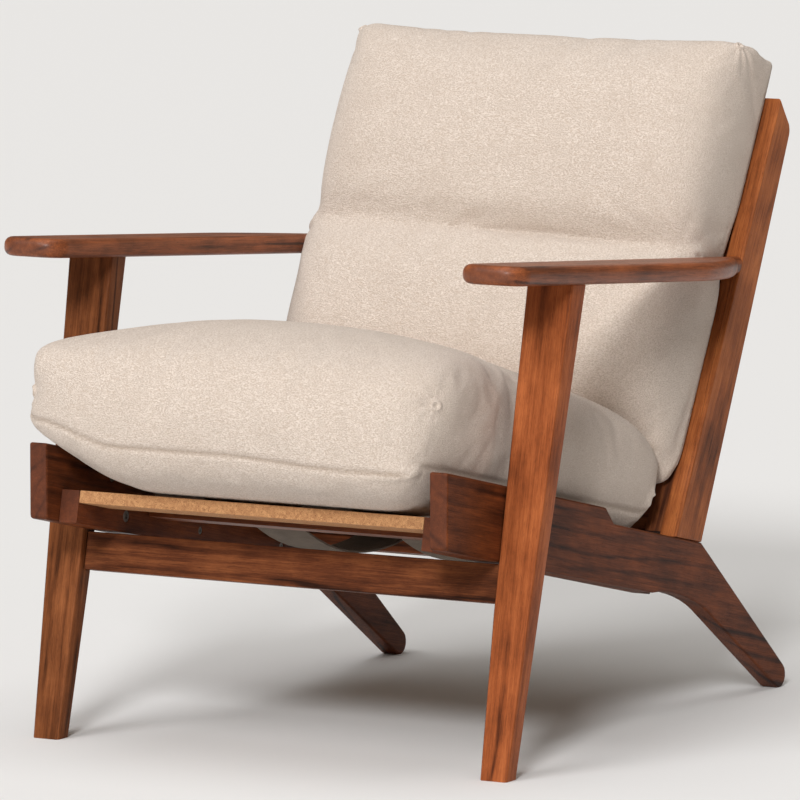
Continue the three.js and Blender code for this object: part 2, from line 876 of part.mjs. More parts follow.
const seatCushionBase = fitGap + strapThickness + fitGap;
const seatLowerRear = seatRearAlong - seatRearUndercut;

// 1 at the fuller left side of the seat cushion, 0 in its middle and on its right.
function fullSide(across, fromShare) {
  return THREE.MathUtils.smoothstep(-across, fromShare, seatFullEndShare);
}

// Half the seat cushion's width: between the planks it is narrower than above and in front of them.
// The sides of the room inside are straight.
function seatHalf(along, above, inset) {
  const narrow = plankInnerX - softGap;
  if (inset > 0) return narrow - inset;
  const flare = 1 - THREE.MathUtils.smoothstep(along, -seatFlareReach, seatFlareLength);
  const overTop = plankTop + seatPlankClear;
  const pastNose = plankNoseReach + seatNoseClear;
  const clear = Math.max(
    THREE.MathUtils.smoothstep(above, overTop, overTop + seatLedge),
    THREE.MathUtils.smoothstep(-along, pastNose, pastNose + seatLedge),
  );
  return THREE.MathUtils.lerp(narrow, seatHalfWidth + seatFrontFlare * flare, clear);
}

function seatUpper(inset) {
  return (across, end) => {
    const reach = seatCornerSetback * Math.abs(across) ** turnPower - seatFrontReach;
    const along = THREE.MathUtils.lerp(reach, seatRearAlong, (end + 1) / 2);
    const nose = THREE.MathUtils.clamp((seatCrestDepth - along) / (seatCrestDepth - reach), 0, 1);
    const tail = Math.max(0, 1 - (seatRearAlong - along) / seatTailLength);
    const full = fullSide(across, seatFullFromShare);
    const near = 1 - THREE.MathUtils.smoothstep(along, seatCrestDepth, seatFullLength);
    const sink = seatFullSink * full * near;
    const noseDrop = THREE.MathUtils.lerp(seatNoseDrop, seatFullNoseDrop, full) * quarterRise(nose);
    const fall = seatFallShare * Math.max(0, along - seatCrestDepth) + seatTailDrop * tail ** crownPower;
    const dome = (1 - across ** crownPower) * (1 - Math.max(0, end) ** edgePower);
    const crown = seatCrown * dome * (1 - seatNoseCrownShare * nose ** crownPower);
    const above = seatCushionBase + seatCrestHeight + crown - noseDrop - sink - fall;
    return new THREE.Vector3(across * seatHalf(along, above, inset), along - end * inset, above - inset);
  };
}

function seatLower(inset, rest) {
  return (across, end) => {
    const reach = seatLowerSetback * Math.abs(across) ** cornerPower - seatLowerReach;
    const along = THREE.MathUtils.lerp(reach, seatLowerRear, (end + 1) / 2);
    const edgeShare = (Math.abs(across) - seatSideFromShare) / (1 - seatSideFromShare);
    const side = seatSideRise * quarterRise(edgeShare);
    const frontRise = seatFrontRise - seatFrontSag * THREE.MathUtils.smoothstep(across, 0, seatSagToShare);
    const frontShare = (seatFrontRoundDepth - along) / (seatFrontRoundDepth - reach);
    const front = frontRise * quarterRise(frontShare);
    const rear = seatRearRise * quarterRise(1 - (seatLowerRear - along) / seatRearRoundLength);
    const rise = (side ** edgePower + front ** edgePower + rear ** edgePower) ** (1 / edgePower);
    const near = 1 - THREE.MathUtils.smoothstep(along, -seatLowerReach, seatFullLength);
    const lift = seatCornerLift * fullSide(across, seatLiftFromShare) * near;
    const above = seatCushionBase + rise + lift;
    return new THREE.Vector3(across * seatHalf(along, above, inset), along - end * inset, above + rest);
  };
}

// The seat cushion: a crowned slab with a waterfall nose. An inset draws every face in, and the
// face that it rests on is drawn in by the amount of its own.
function seatForm(inset, rest = inset) {
  return sewn(seatLower(inset, rest), seatUpper(inset), seatSideBulge, seatFrontBulge, seatRearBulge);
}

const backCushionRear = stileRecess - fitGap - strapThickness - fitGap;

// Half the back cushion's width: it fits between the arms and is wider above them.
function backHalf(up) {
  const armTop = channelHeight - armPinchBelow;
  const free = THREE.MathUtils.smoothstep(up, armTop, armTop + armPinchLength);
  return backCushionHalfWidth - armPinch * (1 - free);
}

// How far the top corners of the back cushion stand up.
function cornerRise(across, end) {
  return backCornerRise * Math.max(0, end) ** edgePower * across ** cornerPower;
}

function backRearPanel(inset, rest) {
  return (across, end) => {
    const up = THREE.MathUtils.lerp(backCushionFoot, backCushionTop, (end + 1) / 2);
    const sideEdge = quarterRise((Math.abs(across) - backEdgeFromShare) / (1 - backEdgeFromShare));
    const topEdge = quarterRise((end - backTopFromShare) / (1 - backTopFromShare));
    const ahead = backEdgeSetback * Math.max(sideEdge, topEdge) - backCushionRear + rest;
    const high = up + cornerRise(across, end) - end * inset;
    return new THREE.Vector3(across * (backHalf(up) - inset), high, ahead);
  };
}

// A plumpness of 1 gives the front panel its two crowns and the channel between them, 0 leaves it flat.
function backFrontPanel(inset, plumpness) {
  return (across, end) => {
    const foot = backCushionFoot + backFootSlant;
    const up = THREE.MathUtils.lerp(foot, backCushionTop, (end + 1) / 2);
    const fromChannel = up - channelHeight + channelTilt * across;
    const segment = fromChannel > 0 ? backCushionTop - channelHeight : channelHeight - foot;
    const swell = Math.max(0, 1 - Math.abs(2 * Math.abs(fromChannel) / segment - 1) ** turnPower);
    const bulge = 1 - across ** edgePower;
    const crown = (backCushionCrown * swell + backCushionSwell) * bulge;
    const groove = channelDepth * bell(fromChannel, channelWidth) * (1 - bulge);
    const ahead = backCushionDepth - backCushionRear + plumpness * (crown - groove) - inset;
    const high = up + cornerRise(across, end) - end * inset;
    return new THREE.Vector3(across * (backHalf(up) - inset), high, ahead);
  };
}

// The back cushion: two plump segments with a sewn channel between them, foot down.
function backForm(inset, plumpness, rest = inset) {
  const rear = backRearPanel(inset, rest);
  const front = backFrontPanel(inset, plumpness);
  return sewn(rear, front, backSideBulge, backFootBulge, backTopBulge);
}

// Turns a cushion's cube so that its height runs ahead of the back.
const standing = new THREE.Matrix4().makeRotationX(Math.PI / 2);

function backFormed(crossSteps, longSteps, depthSteps, form) {
  return moved(formed(crossSteps, longSteps, depthSteps, form), standing);
}

// The room inside a cover, or the core: with a gap all round, and seated by a smaller one.
function seatInside(gap = 0, seated = 0) {
  const form = seatForm(coverWall + gap, coverWall + seated);
  return formed(coreCrossSteps, coreLongSteps, coreHeightSteps, form);
}

function backInside(gap = 0, seated = 0) {
  const form = backForm(coverWall + gap, 0, coverWall + seated);
  return backFormed(coreCrossSteps, coreLongSteps, coreHeightSteps, form);
}

// A slot or strip across the middle of a face, between two places along its normal.
function zipBlock(middle, reach, grow) {
  return box(
    new THREE.Vector3(-zipLength / 2 - grow, middle.x - reach.x, middle.y - reach.y),
    new THREE.Vector3(zipLength / 2 + grow, middle.x + reach.x, middle.y + reach.y),
  );
}

// Seat cushion: cover, foam core and the zip in its rear face
const seatRearMiddle = seatForm(0)(0, 1, 0);
const seatZipMiddle = new THREE.Vector2(seatRearMiddle.y - coverWall / 2, seatRearMiddle.z);
const seatZipReach = new THREE.Vector2(coverWall / 2 - zipRecess, zipHeight / 2);
const seatSlot = zipBlock(seatZipMiddle, new THREE.Vector2(zipSlotReach, zipHeight / 2 + fitGap), fitGap);
const seatOuter = formed(seatCrossSteps, seatLongSteps, seatHeightSteps, seatForm(0));
place('seat_cushion_cover', cut(seatOuter, seatInside(), seatSlot), chenille, deck);
place('seat_foam_core', seatInside(coreGap, fitGap), foam, deck);
place('seat_zip', zipBlock(seatZipMiddle, seatZipReach, 0), zipTape, deck);

// Back cushion: cover, filled core and the zip in its foot
const backFootMiddle = backForm(0, 1)(0, -1, 0);
const backZipMiddle = new THREE.Vector2(-backFootMiddle.z, backFootMiddle.y + coverWall / 2);
const backZipReach = new THREE.Vector2(zipHeight / 2, coverWall / 2 - zipRecess);
const backSlot = zipBlock(backZipMiddle, new THREE.Vector2(zipHeight / 2 + fitGap, zipSlotReach), fitGap);
const backOuter = backFormed(backCrossSteps, backLongSteps, backDepthSteps, backForm(0, 1));
place('back_cushion_cover', cut(backOuter, backInside(), backSlot), chenille, back);
place('back_fibre_core', backInside(coreGap, fitGap), foam, back);
place('back_zip', zipBlock(backZipMiddle, backZipReach, 0), zipTape, back);

// The origin lies under the middle of the whole chair.
const bounds = new THREE.Box3().setFromObject(chair, true);
chair.position.y = -(bounds.min.y + bounds.max.y) / 2;

export default chair;
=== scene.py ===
# %% [markdown]
# # A fireside chair
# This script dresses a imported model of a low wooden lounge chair: stained timber boards, webbing,
# and two loose cushions in a nubby cream cloth. The solids come first and give every place and size.
# Blender adds what solids can't show: grain, weave, seams and the soft swell of a stuffed cushion.

# %% Load the solids
import math

import bmesh
import bpy
import numpy as np
from mathutils import Matrix, Vector, kdtree


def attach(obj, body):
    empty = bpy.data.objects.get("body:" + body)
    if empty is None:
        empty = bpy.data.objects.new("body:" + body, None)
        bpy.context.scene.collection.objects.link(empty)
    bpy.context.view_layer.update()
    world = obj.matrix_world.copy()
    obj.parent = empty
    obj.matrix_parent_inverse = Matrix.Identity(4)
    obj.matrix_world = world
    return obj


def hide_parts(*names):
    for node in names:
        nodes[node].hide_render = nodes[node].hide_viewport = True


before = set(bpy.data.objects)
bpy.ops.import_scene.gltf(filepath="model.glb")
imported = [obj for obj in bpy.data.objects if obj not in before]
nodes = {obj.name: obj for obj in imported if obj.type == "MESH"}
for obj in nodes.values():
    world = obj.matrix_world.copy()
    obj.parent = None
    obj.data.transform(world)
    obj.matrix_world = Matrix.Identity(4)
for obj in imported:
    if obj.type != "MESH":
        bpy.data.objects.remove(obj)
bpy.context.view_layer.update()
print("solids:", len(nodes))

# %% [markdown]
# ## Camera
# The photograph was taken from far away with a long lens, so the chair's edges stay nearly parallel.
# A camera could be moved by eye until it fits. Here its place was worked out from the corners of the
# boards, so it is given by a direction, a distance and a focal length in pixels of an 800 pixel frame.

# %% Camera
photo_side = 800
focal_pixels = 8115.3
camera_azimuth = math.radians(29.518)
camera_elevation = math.radians(7.092)
camera_distance = 9.8211
camera_target = Vector((0, -0.024117, 0.3937))
far_limit = 100


def new_object(name, data):
    made = bpy.data.objects.new(name, data)
    bpy.context.scene.collection.objects.link(made)
    return made


def toward(azimuth, height):
    """The direction to a place this far round from the front and this high."""
    level = math.cos(height)
    return Vector((math.sin(azimuth) * level, -math.cos(azimuth) * level, math.sin(height)))


camera_data = bpy.data.cameras.new("photo_camera")
camera_data.lens = camera_data.sensor_width * focal_pixels / photo_side
camera_data.clip_end = far_limit
camera = new_object("photo_camera", camera_data)
to_camera = toward(camera_azimuth, camera_elevation)
camera.location = camera_target + camera_distance * to_camera
camera.rotation_euler = to_camera.to_track_quat("Z", "Y").to_euler()
bpy.context.scene.camera = camera
print("lens:", round(camera_data.lens, 1), "mm")

# %% [markdown]
# ## Shader helpers
# A material is a small tree of nodes. It can be drawn by hand in the shader editor, but a script is easier
# to repeat for each board. A few short functions keep the trees readable: one adds a node and fills its
# sockets with numbers or with the outputs of other nodes, and the others do the same for sums, mixed
# colours, stretched ranges, turned patterns and relief.

# %% Shader helpers
def add(tree, kind, settings=None, **inputs):
    node = tree.nodes.new("ShaderNode" + kind)
    for name, value in (settings or {}).items():
        setattr(node, name, value)
    fill_inputs(tree, node, **inputs)
    return node


def fill(tree, socket, value):
    """Links a socket to another node's output, or gives it a plain value."""
    if isinstance(value, bpy.types.NodeSocket):
        tree.links.new(value, socket)
    else:
        socket.default_value = value


def fill_inputs(tree, node, **inputs):
    """Fills a node's inputs by name; _ stands for a space."""
    for name, value in inputs.items():
        fill(tree, node.inputs[name.replace("_", " ")], value)


print("node helpers ready")

# %% Value helpers
def noise_of(tree, place, scale, **inputs):
    return add(tree, "TexNoise", Vector=place, Scale=scale, **inputs).outputs["Fac"]


def math_of(tree, operation, first, second=0.0, clamp=False):
    node = tree.nodes.new("ShaderNodeMath")
    node.operation = operation
    node.use_clamp = clamp
    fill(tree, node.inputs[0], first)
    fill(tree, node.inputs[1], second)
    return node.outputs[0]


def mixed(tree, factor, first, second):
    """Mixes two colours; the node keeps its colour sockets at places 6 and 7, and gives one at 2."""
    node = tree.nodes.new("ShaderNodeMix")
    node.data_type = "RGBA"
    fill(tree, node.inputs["Factor"], factor)
    fill(tree, node.inputs[6], first)
    fill(tree, node.inputs[7], second)
    return node.outputs[2]


def spread(tree, value, low, high, to_low=0.0, to_high=1.0):
    """A value's range stretched to another range, cut off at both ends."""
    node = add(tree, "MapRange", {"clamp": True}, Value=value)
    fill_inputs(tree, node, From_Min=low, From_Max=high, To_Min=to_low, To_Max=to_high)
    return node.outputs["Result"]


def colour(red, green, blue):
    """A screen colour from 0 to 255 as the linear colour that shaders use (the sRGB curve)."""
    def linear(part):
        part /= 255
        return part / 12.92 if part <= 0.04045 else ((part + 0.055) / 1.055) ** 2.4
    return (linear(red), linear(green), linear(blue), 1.0)


print("middle grey as a linear value:", round(colour(128, 128, 128)[0], 3))

# %% Surface helpers
def turned_place(tree, place, turn):
    """Places in turned directions, so that a pattern runs along its piece."""
    return add(tree, "Mapping", {"vector_type": "TEXTURE"}, Vector=place, Rotation=turn).outputs[0]


def add_relief(tree, surface, height, strength, depth):
    """Lets a pattern of heights bend the light, as fine roughness does."""
    bump = add(tree, "Bump", Height=height, Strength=strength, Distance=depth)
    tree.links.new(bump.outputs[0], surface.inputs["Normal"])


def new_group(name, inputs, outputs):
    group = bpy.data.node_groups.new(name, "ShaderNodeTree")
    for label, kind in inputs:
        group.interface.new_socket(label, in_out="INPUT", socket_type="NodeSocket" + kind)
    for label, kind in outputs:
        group.interface.new_socket(label, in_out="OUTPUT", socket_type="NodeSocket" + kind)
    start = group.nodes.new("NodeGroupInput").outputs
    end = group.nodes.new("NodeGroupOutput").inputs
    return group, start, end


def use_group(tree, group, **inputs):
    node = tree.nodes.new("ShaderNodeGroup")
    node.node_tree = group
    fill_inputs(tree, node, **inputs)
    return node.outputs


def new_material(name):
    material = bpy.data.materials.new(name)
    material.use_nodes = True
    return material, material.node_tree, material.node_tree.nodes["Principled BSDF"]


print("surface helpers ready")

# %% [markdown]
# ## Timber
# A board is cut from a round trunk, so its figure is a stack of growth rings that the saw runs through:
# long lines and slow arches on the faces, arcs on the ends. A flat picture of grain would break at every
# edge. Rings, fibres and pores made in three dimensions run on from face to end by themselves.

# %% Grain sizes
ring_width = 0.019
ring_bend = 0.05
ring_sharpness = 7.0
ring_distortion = 3.2
ring_detail_share = 0.9
wave_unit = 20
drift_scale = (1.6, 11, 11)
fading_scale = 1.9
fibre_width = 0.0011
streak_scale = 170.0
mottle_scale = 26.0
pore_width = 0.0006
rough_noise = 0.6
fibre_noise = 0.7
# Along the board the figure is drawn out: these shares of its scale are left in that direction.
ring_along_share = 0.22
fibre_along_share = 0.03
pore_along_share = 0.09
mottle_along_share = 0.5
# Noise keeps to the middle of its range, so these limits stretch it.
noise_low = 0.3
noise_high = 0.7
streak_high = 0.72
fading_low = 0.42
fading_high = 0.66
pore_low = 0.60
pore_high = 0.70
# How much of the step from light to dark each figure takes.
streak_share = 0.36
mottle_share = 0.48
fibre_share = 0.22
pore_dark_share = 0.35
fibre_relief_share = 0.35
smooth_fibre = 0.34
rough_fibre = 0.46
pore_rough = 0.12
print("rings are", ring_width * 1000, "mm apart")

# %% Growth rings
grain, board, out = new_group(
    "Timber grain",
    [
        ("Vector", "Vector"), ("Light", "Color"), ("Middle", "Color"), ("Dark", "Color"),
        ("Figure", "Float"),
    ],
    [("Color", "Color"), ("Roughness", "Float"), ("Height", "Float")],
)


def stretched(along_share):
    return add(grain, "Mapping", Vector=board["Vector"], Scale=(along_share, 1, 1)).outputs[0]


def wave_scale(length):
    """The scale that gives a wave texture waves of this length."""
    return 2 * math.pi / (wave_unit * length)


slow = add(grain, "Mapping", Vector=board["Vector"], Scale=drift_scale).outputs[0]
drift = add(grain, "TexNoise", Vector=slow, Scale=1.0, Detail=2.0).outputs["Color"]
bent = add(grain, "VectorMath", {"operation": "SCALE"}, Vector=drift, Scale=ring_bend).outputs[0]
ring_place = add(grain, "VectorMath", {"operation": "ADD"}, Vector=stretched(ring_along_share))
grain.links.new(bent, ring_place.inputs[1])
rings = add(
    grain, "TexWave", {"wave_type": "RINGS", "rings_direction": "X", "wave_profile": "SIN"},
    Vector=ring_place.outputs[0], Scale=wave_scale(ring_width), Distortion=ring_distortion,
    Detail=3.0, Detail_Scale=ring_detail_share, Detail_Roughness=rough_noise,
).outputs["Fac"]
fading = noise_of(grain, slow, fading_scale, Detail=3.0)
ring_line = math_of(grain, "POWER", rings, ring_sharpness)
ring_line = math_of(grain, "MULTIPLY", ring_line, spread(grain, fading, fading_low, fading_high))
print("rings:", len(grain.nodes), "nodes")

# %% Fibres and pores
fibre_place = stretched(fibre_along_share)
fibres = noise_of(grain, fibre_place, 1 / fibre_width, Detail=4.0, Roughness=fibre_noise)
streaks = noise_of(grain, fibre_place, streak_scale, Detail=4.0, Roughness=rough_noise)
mottle_place = stretched(mottle_along_share)
mottle = noise_of(grain, mottle_place, mottle_scale, Detail=4.0, Roughness=rough_noise)
pores = noise_of(grain, stretched(pore_along_share), 1 / pore_width, Detail=1.0)
pore_mask = spread(grain, pores, pore_low, pore_high)
print("rings, fibres and pores:", len(grain.nodes), "nodes")

# %% Grain colour and relief
streak_tone = spread(grain, streaks, noise_low, streak_high, 0.0, streak_share)
mottle_tone = spread(grain, mottle, noise_low, noise_high, 0.0, mottle_share)
fibre_tone = spread(grain, fibres, noise_low, noise_high, -fibre_share, fibre_share)
tone = math_of(grain, "ADD", streak_tone, mottle_tone)
tone = math_of(grain, "ADD", tone, fibre_tone)
tone = math_of(grain, "ADD", tone, math_of(grain, "MULTIPLY", ring_line, board["Figure"]), clamp=True)
lit = mixed(grain, spread(grain, tone, 0.0, 0.5), board["Light"], board["Middle"])
shaded = mixed(grain, spread(grain, tone, 0.5, 1.0), lit, board["Dark"])
final = mixed(grain, math_of(grain, "MULTIPLY", pore_mask, pore_dark_share), shaded, board["Dark"])
grain.links.new(final, out["Color"])
rough = spread(grain, fibres, noise_low, noise_high, smooth_fibre, rough_fibre)
rough = math_of(grain, "ADD", rough, math_of(grain, "MULTIPLY", pore_mask, pore_rough))
grain.links.new(rough, out["Roughness"])
relief = math_of(grain, "SUBTRACT", math_of(grain, "MULTIPLY", fibres, fibre_relief_share), pore_mask)
grain.links.new(relief, out["Height"])
print("grain group:", len(grain.nodes), "nodes")

# %% [markdown]
# ## Stains
# Each board has its own piece of the trunk, so no two carry the same lines. A board's material turns the
# grain along the board and shifts it by a seed. The stain is given by three colours, light to dark. Where
# the saw crossed the fibres, the open ends drink more stain and look greyer: a mask made from the face's
# own direction mixes in that colour. The arms were polished, so they shine more than the other boards.

# %% Stains and gloss
plank_stain = (colour(130, 68, 36), colour(90, 46, 25), colour(44, 22, 14))
leg_stain = (colour(186, 106, 60), colour(144, 76, 41), colour(76, 38, 22))
post_stain = (colour(188, 112, 62), colour(144, 80, 43), colour(68, 36, 21))
# Painted shade: the left front leg gets a darker copy of the leg stain, as that side gets less light.
shaded_leg_stain = (colour(146, 88, 52), colour(108, 61, 34), colour(54, 30, 17))
rail_stain = (colour(142, 84, 50), colour(98, 54, 33), colour(46, 25, 17))
arm_stain = (colour(168, 94, 54), colour(122, 66, 38), colour(58, 31, 20))
end_stain = colour(96, 60, 48)
pore_relief = 0.00012
relief_strength = 0.5
end_share = 0.75
end_keeps_share = 0.35
end_low = 0.7
end_high = 0.95
figure = 0.6
board_gloss = 0.08
arm_gloss = 0.24
coat_share = 0.25
coat_roughness = 0.25
# Each board's heart lies somewhere else in the trunk.
heart_step = 0.37
heart_places = (0.055, 0.066, 0.077)
heart_depths = (0.04, 0.057, 0.074, 0.091)
print("gloss of the arms:", arm_gloss)

# %% Board material
def timber(name, direction, seed, stain, gloss):
    material, tree, surface = new_material(name)
    direction = Vector(direction).normalized()
    turn = direction.to_track_quat("X", "Z").to_euler()
    place = add(tree, "TexCoord")
    heart = Vector((heart_step * seed, heart_places[seed % 3], heart_depths[seed % 4]))
    turned = turned_place(tree, place.outputs["Object"], turn)
    shifted = add(tree, "VectorMath", {"operation": "ADD"}, Vector=turned)
    shifted.inputs[1].default_value = heart
    light, middle, dark = stain
    parts = use_group(
        tree, grain, Vector=shifted.outputs[0], Light=light, Middle=middle, Dark=dark, Figure=figure,
    )
    facing = add(tree, "VectorMath", {"operation": "DOT_PRODUCT"}, Vector=place.outputs["Normal"])
    facing.inputs[1].default_value = direction
    along = math_of(tree, "ABSOLUTE", facing.outputs["Value"])
    open_end = spread(tree, along, end_low, end_high, 0.0, end_share)
    end_colour = mixed(tree, end_keeps_share, end_stain, parts["Color"])
    tinted = mixed(tree, open_end, parts["Color"], end_colour)
    fill_inputs(
        tree, surface, Base_Color=tinted, Roughness=parts["Roughness"], Specular_IOR_Level=gloss,
        Coat_Weight=gloss * coat_share, Coat_Roughness=coat_roughness,
    )
    add_relief(tree, surface, parts["Height"], relief_strength, pore_relief)
    return material


def dress(node, material):
    node.data.materials.clear()
    node.data.materials.append(material)


print("board material ready")

# %% Boards
deck_slope = math.radians(12.57)
back_recline = math.radians(28.2)
arm_slope = math.radians(4.64)
leg_rake = math.radians(12.0)
along_deck = (0, math.cos(deck_slope), -math.sin(deck_slope))
along_back = (0, math.sin(back_recline), math.cos(back_recline))
along_arm = (0, math.cos(arm_slope), -math.sin(arm_slope))
along_leg = (0, math.sin(leg_rake), math.cos(leg_rake))
across = (1, 0, 0)

boards = {
    "right_side_plank": (along_deck, 3, plank_stain),
    "left_side_plank": (along_deck, 8, plank_stain),
    "right_back_post": (along_back, 5, post_stain),
    "left_back_post": (along_back, 11, post_stain),
    "right_front_leg": (along_leg, 2, leg_stain),
    # The left front leg's darker stain is painted shade.
    "left_front_leg": (along_leg, 7, shaded_leg_stain),
    "right_arm": (along_arm, 4, arm_stain),
    "left_arm": (along_arm, 9, arm_stain),
    "front_stretcher": (across, 6, rail_stain),
    "rear_stretcher": (across, 12, rail_stain),
    "right_deck_runner": (along_deck, 13, plank_stain),
    "left_deck_runner": (along_deck, 14, plank_stain),
    "deck_cross_slat": (across, 15, arm_stain),
    "deck_rear_slat": (across, 16, arm_stain),
    "right_back_stile": (along_back, 17, rail_stain),
    "left_back_stile": (along_back, 18, rail_stain),
    "back_bottom_rail": (across, 19, rail_stain),
    "back_top_rail": (across, 20, rail_stain),
}
for name, (direction, seed, stain) in boards.items():
    gloss = arm_gloss if stain is arm_stain else board_gloss
    dress(nodes[name], timber(name + "_timber", direction, seed, stain, gloss))
print("boards:", len(boards))

# %% [markdown]
# ## Soft edges on timber
# Sanded boards have no knife edges: each arris catches a thin line of light. A solid's faces come as loose
# triangles, so they are welded first, then bevelled, and the normals are weighted so that flats stay flat.

# %% Soft edges
weld_distance = 0.00002
arris_width = 0.0009
arris_angle = math.radians(50)
arris_steps = 2


def soften(node):
    node.data.polygons.foreach_set("use_smooth", [True] * len(node.data.polygons))
    weld = node.modifiers.new("weld", "WELD")
    weld.merge_threshold = weld_distance
    bevel = node.modifiers.new("arris", "BEVEL")
    bevel.width = arris_width
    bevel.segments = arris_steps
    bevel.limit_method = "ANGLE"
    bevel.angle_limit = arris_angle
    node.modifiers.new("flats", "WEIGHTED_NORMAL").keep_sharp = True


for name in boards:
    soften(nodes[name])
print("edges softened")

# %% [markdown]
# ## Front board
# The front board of the deck isn't stained. Its pale surface is pressed from fine chips, so it shows
# small light and dark specks with no direction. Cells of two tones stand for the chips, and a finer noise
# for the dust between them.

# %% Front board
chip_size = 0.0035
dark_chip = colour(172, 120, 76)
pale_chip = colour(200, 148, 98)
smooth_chip = 0.55
rough_chip = 0.8
speck_size = 0.0009
speck_colour = colour(118, 74, 42)
speck_low = 0.52
speck_high = 0.7
speck_strength = 0.4
speck_relief = 0.0002


def chipboard(name):
    material, tree, surface = new_material(name)
    place = add(tree, "TexCoord").outputs["Object"]
    chips = add(tree, "TexVoronoi", Vector=place, Scale=1 / chip_size).outputs["Color"]
    chip_tone = add(tree, "SeparateColor", Color=chips).outputs[0]
    specks = noise_of(tree, place, 1 / speck_size, Detail=3.0)
    base = mixed(tree, chip_tone, dark_chip, pale_chip)
    tinted = mixed(tree, spread(tree, specks, speck_low, speck_high), base, speck_colour)
    rough = spread(tree, specks, noise_low, noise_high, smooth_chip, rough_chip)
    fill_inputs(tree, surface, Base_Color=tinted, Roughness=rough)
    add_relief(tree, surface, specks, speck_strength, speck_relief)
    return material


dress(nodes["deck_front_board"], chipboard("front_board_chips"))
soften(nodes["deck_front_board"])
print("front board dressed")

# %% [markdown]
# ## Webbing
# The straps are woven from thick flat yarns. Their weave is small and regular, so two crossed waves make
# the over and under of the yarns, with painted shade where they dip. Noise breaks up their colour.

# %% Webbing
yarn_width = 0.0022
yarn_waver = 0.4
# Painted shade: the darker colour where the yarns dip between each other.
yarn_gap_shade = colour(96, 84, 74)
yarn_top = colour(168, 154, 136)
yarn_strength = 0.8
yarn_relief = 0.0006
rough_gap = 0.95
rough_yarn = 0.8
dirt_colour = colour(80, 68, 58)
dirt_scale = 60.0
dirt_low = 0.35
dirt_high = 0.75
dirt_share = 0.35


def webbing(name, direction, side):
    material, tree, surface = new_material(name)
    place = add(tree, "TexCoord").outputs["Object"]
    turn = Matrix((direction, side, Vector(direction).cross(Vector(side)))).transposed().to_euler()
    turned = turned_place(tree, place, turn)
    waves = []
    for axis in "XY":
        wave = add(
            tree, "TexWave", {"wave_type": "BANDS", "bands_direction": axis, "wave_profile": "SIN"},
            Vector=turned, Scale=wave_scale(yarn_width), Distortion=yarn_waver,
        )
        waves.append(wave.outputs["Fac"])
    weave = math_of(tree, "MULTIPLY", *waves)
    dirt = noise_of(tree, turned, dirt_scale, Detail=4.0)
    base = mixed(tree, weave, yarn_gap_shade, yarn_top)
    tinted = mixed(tree, spread(tree, dirt, dirt_low, dirt_high, 0.0, dirt_share), base, dirt_colour)
    rough = spread(tree, weave, 0.0, 1.0, rough_gap, rough_yarn)
    fill_inputs(tree, surface, Base_Color=tinted, Roughness=rough)
    add_relief(tree, surface, weave, yarn_strength, yarn_relief)
    return material


seat_webbing = webbing("seat_webbing", along_deck, across)
back_webbing = webbing("back_webbing", across, along_back)
for name in ("right_seat_strap", "left_seat_strap"):
    dress(nodes[name], seat_webbing)
for number in range(1, 5):
    dress(nodes[f"back_strap_{number}"], back_webbing)
print("straps dressed")

# %% [markdown]
# ## Screws and bolts
# The fasteners are plated steel. A plain metal would look like a mirror, so fine noise dulls it in spots.

# %% Fasteners
mark_scale = 900.0
dull_steel = colour(92, 88, 84)
bright_steel = colour(150, 146, 140)
smooth_steel = 0.28
rough_steel = 0.5


def plated_steel(name):
    material, tree, surface = new_material(name)
    place = add(tree, "TexCoord").outputs["Object"]
    marks = noise_of(tree, place, mark_scale, Detail=4.0)
    plating = mixed(tree, marks, dull_steel, bright_steel)
    rough = spread(tree, marks, noise_low, noise_high, smooth_steel, rough_steel)
    fill_inputs(tree, surface, Base_Color=plating, Roughness=rough, Metallic=1.0)
    return material


steel = plated_steel("plated_steel")
for name, node in nodes.items():
    if name.endswith(("_bolt", "_screw", "_screw_1", "_screw_2")):
        dress(node, steel)
print("fasteners dressed")

# %% [markdown]
# ## Cushion cloth
# The cover is a nubby chenille: soft yarns that lie in rows across the chair, each a chain of small tufts.
# A regular weave would look machine cut. Stretched noise gives rows that wander and tufts of uneven size,
# and a finer noise gives the fuzz. The hollow between tufts is painted shade, only a little darker than
# their tops.

# %% Chenille group
tuft_size = 0.0010
tuft_across_share = 0.45
tuft_waver = 0.2
tuft_low = 0.34
tuft_high = 0.62
fuzz_size = 0.0006
fuzz_low = 0.5
fuzz_high = 0.75
fuzz_share = 0.2
fuzz_height_share = 0.5
cloud_scale = 16.0
cloud_low = 0.42
cloud_high = 0.7
cloud_share = 0.2

chenille, cloth, woven = new_group(
    "Chenille",
    [("Vector", "Vector"), ("Top", "Color"), ("Hollow", "Color")],
    [("Color", "Color"), ("Height", "Float")],
)
tuft_place = add(chenille, "Mapping", Vector=cloth["Vector"], Scale=(tuft_across_share, 1, 1)).outputs[0]
tufts = noise_of(chenille, tuft_place, 1 / tuft_size, Detail=1.0, Distortion=tuft_waver)
fuzz = noise_of(chenille, cloth["Vector"], 1 / fuzz_size, Detail=2.0)
clouds = noise_of(chenille, cloth["Vector"], cloud_scale, Detail=4.0)
tuft_mask = spread(chenille, tufts, tuft_low, tuft_high)
fuzz_mask = spread(chenille, fuzz, fuzz_low, fuzz_high, 0.0, fuzz_share)
cloud_mask = spread(chenille, clouds, cloud_low, cloud_high, 0.0, cloud_share)
# Painted shade between the tufts; the fuzz specks and clouds mix in the same darker colour at random.
shaded_tufts = mixed(chenille, tuft_mask, cloth["Hollow"], cloth["Top"])
speckled = mixed(chenille, fuzz_mask, shaded_tufts, cloth["Hollow"])
shaded_cloth = mixed(chenille, cloud_mask, speckled, cloth["Hollow"])
chenille.links.new(shaded_cloth, woven["Color"])
fuzz_height = math_of(chenille, "MULTIPLY", fuzz, fuzz_height_share)
chenille.links.new(math_of(chenille, "ADD", tuft_mask, fuzz_height), woven["Height"])
print("chenille group:", len(chenille.nodes), "nodes")
